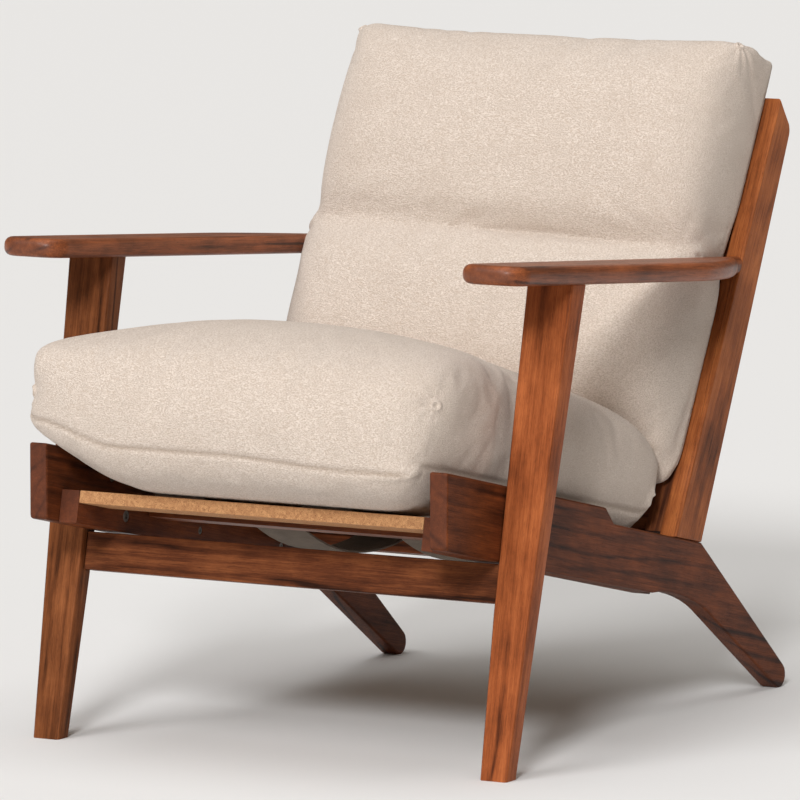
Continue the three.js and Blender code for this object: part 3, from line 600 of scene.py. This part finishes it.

# %% [markdown]
# ## Cloth material
# One cloth could serve both cushions, but its rows follow each cushion's own slope, so each has a copy
# that is turned. The seams' grooves are painted darker, as painted shade: a value stored at each point
# says where they lie. Roughness and a weak sheen stand for the fine hairs, which catch light at the
# cloth's rim.

# %% Cushion cloth
tuft_top = colour(227, 213, 201)
# Painted shade: the colour of the hollows between tufts, also used for random specks and clouds.
hollow_shade_and_mottle = colour(196, 178, 162)
tuft_strength = 0.85
tuft_relief = 0.0008
# Painted shade: the darker colour in the seams' grooves.
seam_shade_colour = colour(140, 116, 92)
seam_shade_share = 0.5
cloth_roughness = 0.9
sheen_share = 0.2
sheen_roughness = 0.5


def cushion_cloth(name, slope):
    material, tree, surface = new_material(name)
    place = add(tree, "TexCoord").outputs["Object"]
    turned = turned_place(tree, place, (-slope, 0, 0))
    parts = use_group(tree, chenille, Vector=turned, Top=tuft_top, Hollow=hollow_shade_and_mottle)
    seam = add(tree, "Attribute", {"attribute_name": "seam"}).outputs["Fac"]
    # Painted shade darkens the cloth in the seams' grooves.
    seam_shade_mask = math_of(tree, "MULTIPLY", seam, seam_shade_share)
    seam_shaded = mixed(tree, seam_shade_mask, parts["Color"], seam_shade_colour)
    fill_inputs(
        tree, surface, Base_Color=seam_shaded, Roughness=cloth_roughness, Sheen_Weight=sheen_share,
        Sheen_Roughness=sheen_roughness,
    )
    add_relief(tree, surface, parts["Height"], tuft_strength, tuft_relief)
    return material


print("cloth ready")

# %% [markdown]
# ## How a cushion is built
# A real cover is cut as flat panels, sewn along its edges and then stuffed. It could be sculpted by hand,
# but then every pucker is a guess. The cushions start as the real ones do: a cube stands for the cover and
# its edges for the seams, and each point moves to its panel's place. The faces are remeshed evenly, and a
# short cloth simulation with some slack blows them up while the seams hold, so the cloth puckers where it
# should. The panels have the broad swell already, so only a part of the simulation's swell is kept.

# %% Shape helpers
def limited(share):
    return min(max(share, 0.0), 1.0)


def between(low, high, share):
    return low + (high - low) * share


def ease(low, high, value):
    """Rises from 0 to 1 between two values, flat at both ends."""
    share = limited((value - low) / (high - low))
    return share * share * (3 - 2 * share)


def quarter(share):
    """Rises from 0 to 1 as a quarter of a circle does, flat at first and steep at the end."""
    return 1 - math.sqrt(1 - limited(share) ** 2)


def bell(distance, width):
    return np.exp(-((distance / width) ** 2))


print("a quarter round at half way:", round(quarter(0.5), 3))

# %% [markdown]
# ## The cover's panels
# A cover has two large panels, here called sheets, and side panels that join them and bulge out. Each
# sheet is a function that says where a point of it lies, so its form can be read and changed by name.

# %% Cover helpers
cover_cuts = 47
edge_steps = 240
flat_power = 4


def panel_point(point, low_sheet, high_sheet, bulges):
    """A cube point from -1 to 1 moved to the cover: its two sheets are joined by bulging side panels."""
    across, along, up = point
    place = low_sheet(across, along).lerp(high_sheet(across, along), (up + 1) / 2)
    swell = 1 - up ** 2
    side_bulge, front_bulge, rear_bulge = bulges
    end_bulge = front_bulge if along < 0 else rear_bulge
    place.x += across * side_bulge * swell * (1 - along ** flat_power)
    place.y += along * end_bulge * swell * (1 - across ** flat_power)
    return place


def cover_cube(name, low_sheet, high_sheet, bulges):
    """A closed cover: a cube of fine steps, closer near its edges, moved to the panels' places."""
    cover = bmesh.new()
    bmesh.ops.create_cube(cover, size=2)
    bmesh.ops.subdivide_edges(cover, edges=cover.edges[:], cuts=cover_cuts, use_grid_fill=True)
    for vert in cover.verts:
        point = [math.sin(part * math.pi / 2) for part in vert.co]
        vert.co = panel_point(point, low_sheet, high_sheet, bulges)
    mesh = bpy.data.meshes.new(name)
    cover.to_mesh(mesh)
    cover.free()
    return mesh


def steps_between(start, stop, steps):
    """Places in even steps from start to stop."""
    return [Vector(start).lerp(Vector(stop), step / steps) for step in range(steps + 1)]


def edge_points(sheet, start, stop):
    """Points close together along a panel's edge, between two of its corners."""
    return [sheet(*place) for place in steps_between(start, stop, edge_steps)]


def outline_points(sheet):
    """Points along all four edges of a panel."""
    corners = [(-1, -1), (1, -1), (1, 1), (-1, 1)]
    points = []
    for start, stop in zip(corners, corners[1:] + corners[:1]):
        points += edge_points(sheet, start, stop)
    return points


print("points along one edge:", edge_steps + 1)

# %% Mesh helpers
refine_cuts = 2


def applied(made):
    """The object's mesh with its modifiers applied; the old mesh and the modifiers go."""
    depsgraph = bpy.context.evaluated_depsgraph_get()
    mesh = bpy.data.meshes.new_from_object(made.evaluated_get(depsgraph), depsgraph=depsgraph)
    made.modifiers.clear()
    old = made.data
    made.data = mesh
    name = old.name
    bpy.data.meshes.remove(old)
    mesh.name = name
    return mesh


def remeshed(made, size):
    even = made.modifiers.new("even", "REMESH")
    even.mode = "VOXEL"
    even.voxel_size = size
    even.use_smooth_shade = True
    return applied(made)


def subdivided(made):
    finer = made.modifiers.new("finer", "SUBSURF")
    finer.levels = 1
    finer.render_levels = 1
    return applied(made)


def refined(mesh, knots, reach):
    """Splits the faces near the knots, where the cloth needs finer folds."""
    shape = bmesh.new()
    shape.from_mesh(mesh)
    near = [
        edge for edge in shape.edges
        if min((edge.verts[0].co - knot).length for knot in knots) < reach
    ]
    bmesh.ops.subdivide_edges(shape, edges=near, cuts=refine_cuts, use_grid_fill=True)
    shape.to_mesh(mesh)
    shape.free()
    for face in mesh.polygons:
        face.use_smooth = True


print("mesh helpers ready")

# %% [markdown]
# ## Work on all points at once
# A cushion has tens of thousands of points. A loop over them is slow, so their places are taken out
# as one array and changed together.

# %% Point helpers
def array_of(items, what):
    values = np.empty(len(items) * 3)
    items.foreach_get(what, values)
    return values.reshape(-1, 3)


def places_of(mesh):
    return array_of(mesh.vertices, "co")


def normals_of(mesh):
    return array_of(mesh.vertex_normals, "vector")


def put_places(mesh, places):
    mesh.vertices.foreach_set("co", places.reshape(-1))
    mesh.update()


def distances(places, targets):
    """How far each place is from the nearest target point."""
    tree = kdtree.KDTree(len(targets))
    for index, target in enumerate(targets):
        tree.insert(target, index)
    tree.balance()
    return np.array([tree.find(place)[2] for place in places])


def snapped(mesh, points):
    """For each point the place of the mesh's nearest vertex."""
    return [min((vert.co for vert in mesh.vertices), key=lambda place: (place - point).length).copy()
            for point in points]


def smoothed(mesh, values, rounds):
    """Each point's value becomes the mean of its neighbours' values, some rounds in a row."""
    edges = np.empty(len(mesh.edges) * 2, dtype=np.int64)
    mesh.edges.foreach_get("vertices", edges)
    first, second = edges.reshape(-1, 2).T
    total = len(mesh.vertices)
    count = np.bincount(edges, minlength=total)
    for _ in range(rounds):
        columns = []
        for column in values.T:
            near = np.bincount(first, column[second], total) + np.bincount(second, column[first], total)
            columns.append(near / count)
        values = np.stack(columns, axis=1)
    return values


print("point helpers ready")

# %% [markdown]
# ## Stuffing
# Fibre and foam press a cover outward. A pressure in the cloth simulation does the same: it pushes every
# face out while the seams and the knots are held. The cloth gets some slack, most near the knots, so it
# has to fold there.

# %% Rounding off
remesh_size = 0.0065
even_rounds = 4
fold_width = 0.050
crisp_width = 0.012
soft_corner_width = 0.022


def round_off(mesh, seam_gaps, corner_gaps, fold_gaps, fold_rounds):
    """Rounds the cover, most where it is only folded, and not at seams away from soft corners."""
    places = places_of(mesh)
    loose = 1 - bell(seam_gaps, crisp_width) * (1 - bell(corner_gaps, soft_corner_width))
    softer = smoothed(mesh, places, even_rounds)
    places = places + (softer - places) * loose[:, None]
    softer = smoothed(mesh, places, fold_rounds)
    put_places(mesh, places + (softer - places) * (loose * bell(fold_gaps, fold_width))[:, None])


print("faces are", remesh_size * 1000, "mm wide")

# %% Stuffing
sim_frames = 20
sim_pressure = 4.0
cloth_quality = 5
cloth_mass = 0.3
cloth_slack = 0.022
gather_slack = 0.04
smooth_rounds = 40
swell_kept_share = 0.2
creases_kept_share = 0.4
least_weight = 0.01


def weights(made, name, values):
    group = made.vertex_groups.new(name=name)
    for index in np.flatnonzero(values > least_weight):
        group.add([int(index)], float(values[index]), "REPLACE")


def inflate(made, held, gathered):
    """Blows the cover up for some frames while its held points stay, and keeps a part of the swell."""
    weights(made, "held", held)
    weights(made, "gathered", gathered)
    start = places_of(made.data)
    cloth = made.modifiers.new("cloth", "CLOTH")
    settings = cloth.settings
    settings.quality = cloth_quality
    settings.mass = cloth_mass
    settings.vertex_group_mass = "held"
    settings.vertex_group_shrink = "gathered"
    settings.shrink_min = -cloth_slack
    settings.shrink_max = -gather_slack
    settings.use_pressure = True
    settings.uniform_pressure_force = sim_pressure
    settings.effector_weights.gravity = 0
    cloth.point_cache.frame_start = 1
    cloth.point_cache.frame_end = sim_frames
    for number in range(1, sim_frames + 1):
        bpy.context.scene.frame_set(number)
    mesh = applied(made)
    bpy.context.scene.frame_set(1)
    made.vertex_groups.clear()
    moved = places_of(mesh) - start
    broad = smoothed(mesh, moved, smooth_rounds)
    put_places(mesh, start + broad * swell_kept_share + (moved - broad) * creases_kept_share)
    reach = np.linalg.norm(broad, axis=1).max() * swell_kept_share
    print(made.name, "swelled by up to", round(float(reach) * 1000, 1), "mm")


print("stuffing takes", sim_frames, "frames")

# %% From panels to a stuffed cover
held_width = 0.004
knot_held_width = 0.008
gather_width = 0.07


def stuffed(made, seams, knots, soft_corners, folds, fold_rounds, rest_from, rest_to):
    """Remeshes a cover, rounds it off and blows it up; its seams, knots and resting side are held."""
    mesh = remeshed(made, remesh_size)
    places = places_of(mesh)
    seam_gaps = distances(places, seams)
    knot_gaps = distances(places, knots)
    held = bell(seam_gaps, held_width)
    held = np.maximum(held, bell(knot_gaps, knot_held_width))
    resting = 1 - np.clip((places[:, 2] - rest_from) / (rest_to - rest_from), 0, 1)
    held = np.maximum(held, resting)
    gathered = bell(knot_gaps, gather_width)
    round_off(mesh, seam_gaps, distances(places, soft_corners), distances(places, folds), fold_rounds)
    inflate(made, held, gathered)
    return subdivided(made)


print("seams are held over", held_width * 1000, "mm")

# %% [markdown]
# ## Seams and knots
# At a seam the thread pulls the cloth in, and beside it the cloth stands up a little. Where a corner was
# tied off, a small ring of cloth stays with folds around it. Both are too fine for the simulation, so
# they are pressed into the mesh afterwards.

# %% Seams
seam_depth = 0.0022
seam_width = 0.0032
seam_ridge_at = 2.4
seam_ridge_share = 0.12
# Painted shade in the seams' grooves: how strongly the groove's depth darkens the cloth.
seam_shade_contrast = 1.3
seam_shade_cut = 0.3


def press_seams(mesh, lines):
    """Presses a groove along each line of points, and stores where painted shade darkens the groove."""
    places = places_of(mesh)
    sunk = np.zeros(len(places))
    groove_shade = np.zeros(len(places))
    for points, depth in lines:
        gaps = distances(places, points)
        groove = bell(gaps, seam_width)
        ridge = bell(gaps - seam_ridge_at * seam_width, seam_width) * seam_ridge_share
        sunk += (ridge - groove) * depth
        groove_shade = np.maximum(groove_shade, groove)
    put_places(mesh, places + normals_of(mesh) * sunk[:, None])
    # Painted shade: each point's place in a groove, which darkens the cloth.
    stored = mesh.attributes.new("seam", "FLOAT", "POINT")
    stored.data.foreach_set("value", np.clip(groove_shade * seam_shade_contrast - seam_shade_cut, 0, 1))


print("seams are", seam_depth * 1000, "mm deep")

# %% Knots
knot_reach = 0.030
knot_dimple = 0.005
knot_dimple_width = 0.018
knot_ring = 0.0042
knot_ring_radius = 0.0050
knot_ring_width = 0.0024
knot_open_share = 0.4
gather_height = 0.0014
gather_start = 0.022
gather_length = 0.016
gather_folds = 9
gather_turn = 0.8


def tie_knot(mesh, knot, outward, pull):
    """Gathers the cloth to a small ring in a dimple, with folds that run out; more pull is deeper."""
    places = places_of(mesh)
    outward = Vector(outward).normalized()
    sideways = outward.orthogonal().normalized()
    upward = outward.cross(sideways)
    offsets = places - np.array(knot)
    first = offsets @ np.array(sideways)
    second = offsets @ np.array(upward)
    apart = np.linalg.norm(offsets, axis=1)
    turn = np.arctan2(second, first)
    lift = -knot_dimple * pull * bell(apart, knot_dimple_width)
    open_ring = 1 - knot_open_share * (1 + np.cos(turn)) / 2
    lift += knot_ring * (1 + pull) / 2 * bell(apart - knot_ring_radius, knot_ring_width) * open_ring
    uneven = (1 + np.cos(turn + gather_turn)) / 2
    folds = pull * gather_height * uneven * np.cos(gather_folds * turn)
    lift += folds * bell(apart - gather_start, gather_length)
    put_places(mesh, places + normals_of(mesh) * lift[:, None])


print("a knot's ring is", knot_ring_radius * 2000, "mm wide")

# %% [markdown]
# ## Seat cushion
# The seat cushion is a thick slab with a waterfall front: the top panel runs over the nose and down to a
# low seam. It is stuffed unevenly: the left front corner is full and gathered into a knot, the right one
# is rounded off, with a small knot on its face. It lies between the side planks and swells over them. Its
# panels are written in the deck's own directions: across, along the deck, and above it.

# %% Seat cushion sizes
deck_front = Vector((0, -0.381117, 0.310))
deck_place = Matrix.Translation(deck_front) @ Matrix.Rotation(-deck_slope, 4, "X")
seat_narrow_half = 0.258
seat_wide_half = 0.267
seat_flare = 0.014
seat_flare_from = -0.05
seat_flare_to = 0.15
seat_rear_flare = 0.007
seat_rear_flare_from = 0.36
seat_rear_flare_to = 0.48
seat_ledge_low = 0.056
seat_ledge_high = 0.066
seat_nose_clear = 0.046
seat_ledge_clear = 0.056
seat_reach = -0.090
seat_corner_setback = 0.020
seat_rear = 0.547
seat_crest = 0.078
seat_height = 0.190
seat_crown = 0.027
seat_fall_share = 0.06
seat_nose_drop = 0.066
seat_full_nose_drop = 0.031
seat_full_sink = 0.008
seat_full_length = 0.230
seat_full_from = 0.3
seat_full_to = 0.95
seat_nose_flat_share = 0.6
seat_setback_power = 3
seat_tail_length = 0.121
seat_tail_drop = 0.029
seat_low_reach = -0.084
seat_low_setback = 0.024
seat_low_setback_power = 6
seat_low_rear = 0.512
seat_base = 0.0028
seat_side_rise = 0.053
seat_side_from = 0.68
seat_side_span = 0.32
rise_power = 4
seat_front_rise = 0.046
seat_front_sag = 0.008
seat_front_sag_to = 0.6
seat_front_round = 0.024
seat_rear_rise = 0.070
seat_rear_round = 0.090
seat_corner_lift = 0.027
seat_corner_lift_from = 0.5
seat_bulges = (0.007, 0.009, 0.016)
seat_corner_cut = 0.020
seat_corner_round = 0.050
print("seat cushion length:", round(seat_rear - seat_reach, 3), "m")

# %% Seat cushion panels
def seat_half(along, above):
    """Half the cushion's width: narrow between the planks, wide above them and in front of them."""
    flare = seat_flare * (1 - ease(seat_flare_from, seat_flare_to, along))
    flare += seat_rear_flare * ease(seat_rear_flare_from, seat_rear_flare_to, along)
    over_planks = ease(seat_ledge_low, seat_ledge_high, above)
    before_planks = ease(seat_nose_clear, seat_ledge_clear, -along)
    return between(seat_narrow_half, seat_wide_half + flare, max(over_planks, before_planks))


def right_corner(across, gap):
    """How far the side turns in at the right front corner, this far behind the cushion's front."""
    return seat_corner_cut * quarter(1 - gap / seat_corner_round) * max(0, across)


def seat_top(across, end):
    reach = seat_reach + seat_corner_setback * abs(across) ** seat_setback_power
    along = between(reach, seat_rear, (end + 1) / 2)
    nose = limited((seat_crest - along) / (seat_crest - reach))
    tail = max(0, 1 - (seat_rear - along) / seat_tail_length)
    full = ease(seat_full_from, seat_full_to, -across)
    sink = seat_full_sink * full * (1 - ease(seat_crest, seat_full_length, along))
    nose_drop = between(seat_nose_drop, seat_full_nose_drop, full) * quarter(nose)
    fall = seat_fall_share * max(0, along - seat_crest) + seat_tail_drop * tail ** 2
    dome = (1 - across ** 2) * (1 - max(0, end) ** flat_power) * (1 - seat_nose_flat_share * nose ** 2)
    above = seat_height + seat_crown * dome - nose_drop - sink - fall
    half = seat_half(along, above) - right_corner(across, along - reach)
    return Vector((across * half, along, above))


def seat_bottom(across, end):
    reach = seat_low_reach + seat_low_setback * abs(across) ** seat_low_setback_power
    along = between(reach, seat_low_rear, (end + 1) / 2)
    side = seat_side_rise * quarter((abs(across) - seat_side_from) / seat_side_span)
    front_rise = seat_front_rise - seat_front_sag * ease(0, seat_front_sag_to, across)
    front = front_rise * quarter((seat_front_round - along) / (seat_front_round - reach))
    rear = seat_rear_rise * quarter(1 - (seat_low_rear - along) / seat_rear_round)
    rise = (side ** rise_power + front ** rise_power + rear ** rise_power) ** (1 / rise_power)
    lift = seat_corner_lift * ease(seat_corner_lift_from, seat_full_to, -across)
    lift *= 1 - ease(seat_low_reach, seat_full_length, along)
    above = seat_base + rise + lift
    half = seat_half(along, above) - right_corner(across, along - reach)
    return Vector((across * half, along, above))


seat_mesh = cover_cube("seat_cushion", seat_bottom, seat_top, seat_bulges)
seat = new_object("seat_cushion", seat_mesh)
print("seat panels:", len(seat_mesh.polygons), "faces")

# %% Seat cushion cloth
seat_rest_from = 0.006
seat_rest_to = 0.014
left_knot_share = 0.33
right_knot_share = 0.77
right_knot_end = -0.955
seat_left_pull_share = 1
seat_right_pull_share = 0.25
seat_knot_lift = 0.3
seat_fold_rounds = 70

seat_seams = outline_points(seat_bottom) + edge_points(seat_top, (-1, 1), (1, 1))
seat_folds = edge_points(seat_top, (1, -1), (1, 1))
seat_folds += steps_between(seat_bottom(1, -1), seat_top(1, -1), edge_steps)
seat_knots = [
    seat_bottom(-1, -1).lerp(seat_top(-1, -1), left_knot_share),
    seat_bottom(1, right_knot_end).lerp(seat_top(1, right_knot_end), right_knot_share),
]
seat_soft_corners = [sheet(side, 1) for sheet in (seat_bottom, seat_top) for side in (-1, 1)]
seat_soft_corners.append(seat_bottom(1, -1))
seat_mesh = stuffed(
    seat, seat_seams, seat_knots[:1], seat_soft_corners, seat_folds, seat_fold_rounds,
    seat_rest_from, seat_rest_to,
)
seat_knots = snapped(seat_mesh, seat_knots)
refined(seat_mesh, seat_knots, knot_reach)
press_seams(seat_mesh, [(seat_seams, seam_depth)])
for side, knot, pull in zip((-1, 1), seat_knots, (seat_left_pull_share, seat_right_pull_share)):
    tie_knot(seat_mesh, knot, (side, -1, seat_knot_lift), pull)
seat_mesh.transform(deck_place)
dress(seat, cushion_cloth("seat_cloth", deck_slope))
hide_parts("seat_cushion_cover")
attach(seat, "seat_cushion")
print("seat cushion:", len(seat_mesh.polygons), "faces")

# %% [markdown]
# ## Back cushion
# The back cushion is two plump segments with one sewn channel between them. It stands on the seat cushion
# and leans on the webbing. The arms press it in at the sides and it spills over them, its upper corners
# are tied into ears, and its lower ones are rounded. Its panels are written in the back's own directions:
# across, up, and ahead.

# %% Back cushion sizes
post_foot = Vector((0, 0.154963, 0.22376))
back_place = Matrix.Translation(post_foot) @ Matrix.Rotation(-back_recline, 4, "X")
standing = Matrix.Rotation(math.pi / 2, 4, "X")
back_half_width = 0.271
back_upper_right = 0.268
back_upper_left = 0.276
back_upper_from = 0.36
back_upper_to = 0.43
arm_pinch = 0.008
arm_at_rear = 0.363
arm_at_front = 0.313
arm_pinch_width = 0.040
arm_spill = 0.010
arm_spill_left = 0.021
arm_spill_at = 0.336
arm_spill_width = 0.030
back_foot_cut = 0.024
back_foot_height = 0.055
ear_flare = 0.011
ear_flare_left = 0.017
ear_height = 0.024
back_low = 0.060
back_front_low = 0.128
back_high = 0.610
back_behind = 0.0032
back_corner_rise = 0.019
back_corner_power = 6
back_depth = 0.107
back_crown = 0.040
back_crown_power = 3
back_bulge_power = 8
back_swell = 0.006
back_edge_swell = 0.012
back_roll = 0.014
back_roll_below = 0.038
back_roll_width = 0.034
back_roll_power = 3
back_hang = 0.009
back_hang_above = 0.026
back_hang_width = 0.020
back_crease = 0.011
back_crease_width = 0.009
back_edge_setback = 0.012
back_side_from = 0.88
back_side_span = 0.12
back_top_from = 0.9
back_top_span = 0.1
channel_up = 0.341
channel_tilt = 0.008
channel_depth = 0.012
channel_width = 0.022
back_bulges = (0.002, 0.004, 0.010)
print("back cushion height:", round(back_high - back_low, 3), "m")

# %% Back cushion panels
def back_half(across, up, arm_at, low):
    """Half the cushion's width: narrower at its foot and where the arms press it."""
    upper = back_upper_left if across < 0 else back_upper_right
    full = between(back_half_width, upper, ease(back_upper_from, back_upper_to, up))
    foot = quarter(1 - (up - low) / back_foot_height)
    return full - back_foot_cut * foot - arm_pinch * bell(up - arm_at, arm_pinch_width)


def corner_rise(across, end):
    return back_corner_rise * across ** back_corner_power * max(0, end) ** flat_power


def back_rear(across, end):
    up = between(back_low, back_high, (end + 1) / 2)
    side_edge = quarter((abs(across) - back_side_from) / back_side_span)
    top_edge = quarter((end - back_top_from) / back_top_span)
    ahead = back_edge_setback * max(side_edge, top_edge) - back_behind
    half = back_half(across, up, arm_at_rear, back_low)
    return Vector((across * half, up + corner_rise(across, end), ahead))


def back_front(across, end):
    up = between(back_front_low, back_high, (end + 1) / 2)
    from_channel = up - channel_up + channel_tilt * across
    segment = back_high - channel_up if from_channel > 0 else channel_up - back_front_low
    swell = max(0, 1 - abs(2 * abs(from_channel) / segment - 1) ** back_crown_power)
    bulge = 1 - across ** back_bulge_power
    ahead = back_depth - back_behind + (back_crown * swell + back_swell) * bulge
    ahead += back_edge_swell * swell * (1 - bulge)
    roll = back_roll * bell(from_channel + back_roll_below, back_roll_width)
    ahead += roll * abs(across) ** back_roll_power
    ahead -= channel_depth * bell(from_channel, channel_width) * (1 - bulge)
    ahead += back_hang * bell(from_channel - back_hang_above, back_hang_width)
    ahead -= back_crease * bell(from_channel, back_crease_width)
    spill, ear = (arm_spill_left, ear_flare_left) if across < 0 else (arm_spill, ear_flare)
    half = back_half(across, up, arm_at_front, back_front_low)
    half += spill * bell(up - arm_spill_at, arm_spill_width)
    half += ear * bell(up - back_high, ear_height)
    return Vector((across * half, up + corner_rise(across, end), ahead))


back_mesh = cover_cube("back_cushion", back_rear, back_front, back_bulges)
back = new_object("back_cushion", back_mesh)
print("back panels:", len(back_mesh.polygons), "faces")

# %% Back cushion cloth
channel_steps = 120
channel_press = 0.006
back_rest_from = 0.004
back_rest_to = 0.010
back_pull_share = 0.6
back_fold_rounds = 30


def channel_point(across):
    """A point of the channel: the front panel where it lies nearest to the rear."""
    up = channel_up - channel_tilt * across
    end = 2 * (up - back_front_low) / (back_high - back_front_low) - 1
    return back_front(across, end)


channel_points = [channel_point(2 * step / channel_steps - 1) for step in range(channel_steps + 1)]
channel_ends = [channel_points[0], channel_points[-1]]
back_seams = outline_points(back_rear)
back_folds = edge_points(back_front, (1, -1), (1, 1)) + edge_points(back_front, (-1, -1), (-1, 1))
back_knots = [back_front(side, 1) for side in (-1, 1)]
back_soft_corners = [back_rear(side, -1) for side in (-1, 1)]
back_mesh = stuffed(
    back, back_seams + channel_points, back_knots + channel_ends, back_soft_corners, back_folds,
    back_fold_rounds, back_rest_from, back_rest_to,
)
back_knots = snapped(back_mesh, back_knots)
refined(back_mesh, back_knots, knot_reach)
press_seams(back_mesh, [(back_seams, seam_depth), (channel_points, channel_press)])
for side, knot in zip((-1, 1), back_knots):
    tie_knot(back_mesh, knot, (side, 1, 1), back_pull_share)
back_mesh.transform(back_place @ standing)
dress(back, cushion_cloth("back_cloth", back_recline))
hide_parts("back_cushion_cover")
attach(back, "back_cushion")
print("back cushion:", len(back_mesh.polygons), "faces")

# %% [markdown]
# ## Fillings and zips
# These lie inside the covers, but they are part of the model, so they are finished too: the fillings get
# the fine pores of foam, with painted shade inside the pores, and the zips the weave of tape, with painted
# shade where its yarns dip.

# %% Fillings and zips
pore_scale = 900.0
# Painted shade: the darker colour inside the pores.
foam_pore_shade = colour(206, 192, 150)
foam_wall = colour(244, 234, 204)
foam_strength = 0.5
foam_relief = 0.0004


def foam(name):
    material, tree, surface = new_material(name)
    place = add(tree, "TexCoord").outputs["Object"]
    cells = add(tree, "TexVoronoi", Vector=place, Scale=pore_scale).outputs["Distance"]
    fill_inputs(tree, surface, Base_Color=mixed(tree, cells, foam_pore_shade, foam_wall), Roughness=1.0)
    add_relief(tree, surface, cells, foam_strength, foam_relief)
    return material


filling = foam("cushion_filling")
for name in ("seat_foam_core", "back_fibre_core"):
    dress(nodes[name], filling)
for name in ("seat_zip", "back_zip"):
    dress(nodes[name], webbing(name + "_tape", across, along_deck))
print("fillings and zips dressed")

# %% [markdown]
# ## Floor and light
# The chair stands on a plain pale floor, lit as in a studio. The shadows that the arms throw on the legs
# show a strong light by the camera, the gloss on the arms a softer one to its left, and the tops are as
# bright as the fronts, so a third hangs above. Far lamps shine evenly, so the floor stays pale all over.
# A weak warm glow from all around keeps the shadows from going black.

# %% Floor and light
floor_reach = 30
floor_colour = (0.82, 0.82, 0.82, 1)
floor_roughness = 0.9
key_azimuth = math.radians(19)
key_height = math.radians(29)
key_width = math.radians(12)
key_strength = 2.0
fill_azimuth = math.radians(-18)
fill_height = math.radians(45)
fill_width = math.radians(25)
fill_strength = 0.95
top_height = math.radians(86)
top_width = math.radians(50)
top_strength = 1.0
glow_colour = (1, 0.89, 0.75, 1)
glow_strength = 0.18

floor_mesh = bpy.data.meshes.new("floor")
floor_shape = bmesh.new()
bmesh.ops.create_grid(floor_shape, x_segments=1, y_segments=1, size=floor_reach)
floor_shape.to_mesh(floor_mesh)
floor_shape.free()
floor = new_object("floor", floor_mesh)
floor_material, floor_tree, floor_surface = new_material("pale_floor")
fill_inputs(floor_tree, floor_surface, Base_Color=floor_colour, Roughness=floor_roughness)
dress(floor, floor_material)


def far_lamp(name, azimuth, height, width, strength):
    """A lamp so far away that its light is even; the wider it looks, the softer its shadows."""
    light_data = bpy.data.lights.new(name, "SUN")
    light_data.angle = width
    light_data.energy = strength
    light = new_object(name, light_data)
    light.rotation_euler = toward(azimuth, height).to_track_quat("Z", "Y").to_euler()


far_lamp("key_light", key_azimuth, key_height, key_width, key_strength)
far_lamp("fill_light", fill_azimuth, fill_height, fill_width, fill_strength)
far_lamp("top_light", fill_azimuth, top_height, top_width, top_strength)
world = bpy.data.worlds.new("studio")
world.use_nodes = True
glow = world.node_tree.nodes["Background"]
glow.inputs["Color"].default_value = glow_colour
glow.inputs["Strength"].default_value = glow_strength
bpy.context.scene.world = world
bpy.context.scene.view_settings.view_transform = "Standard"
print("lamps:", len(bpy.data.lights))
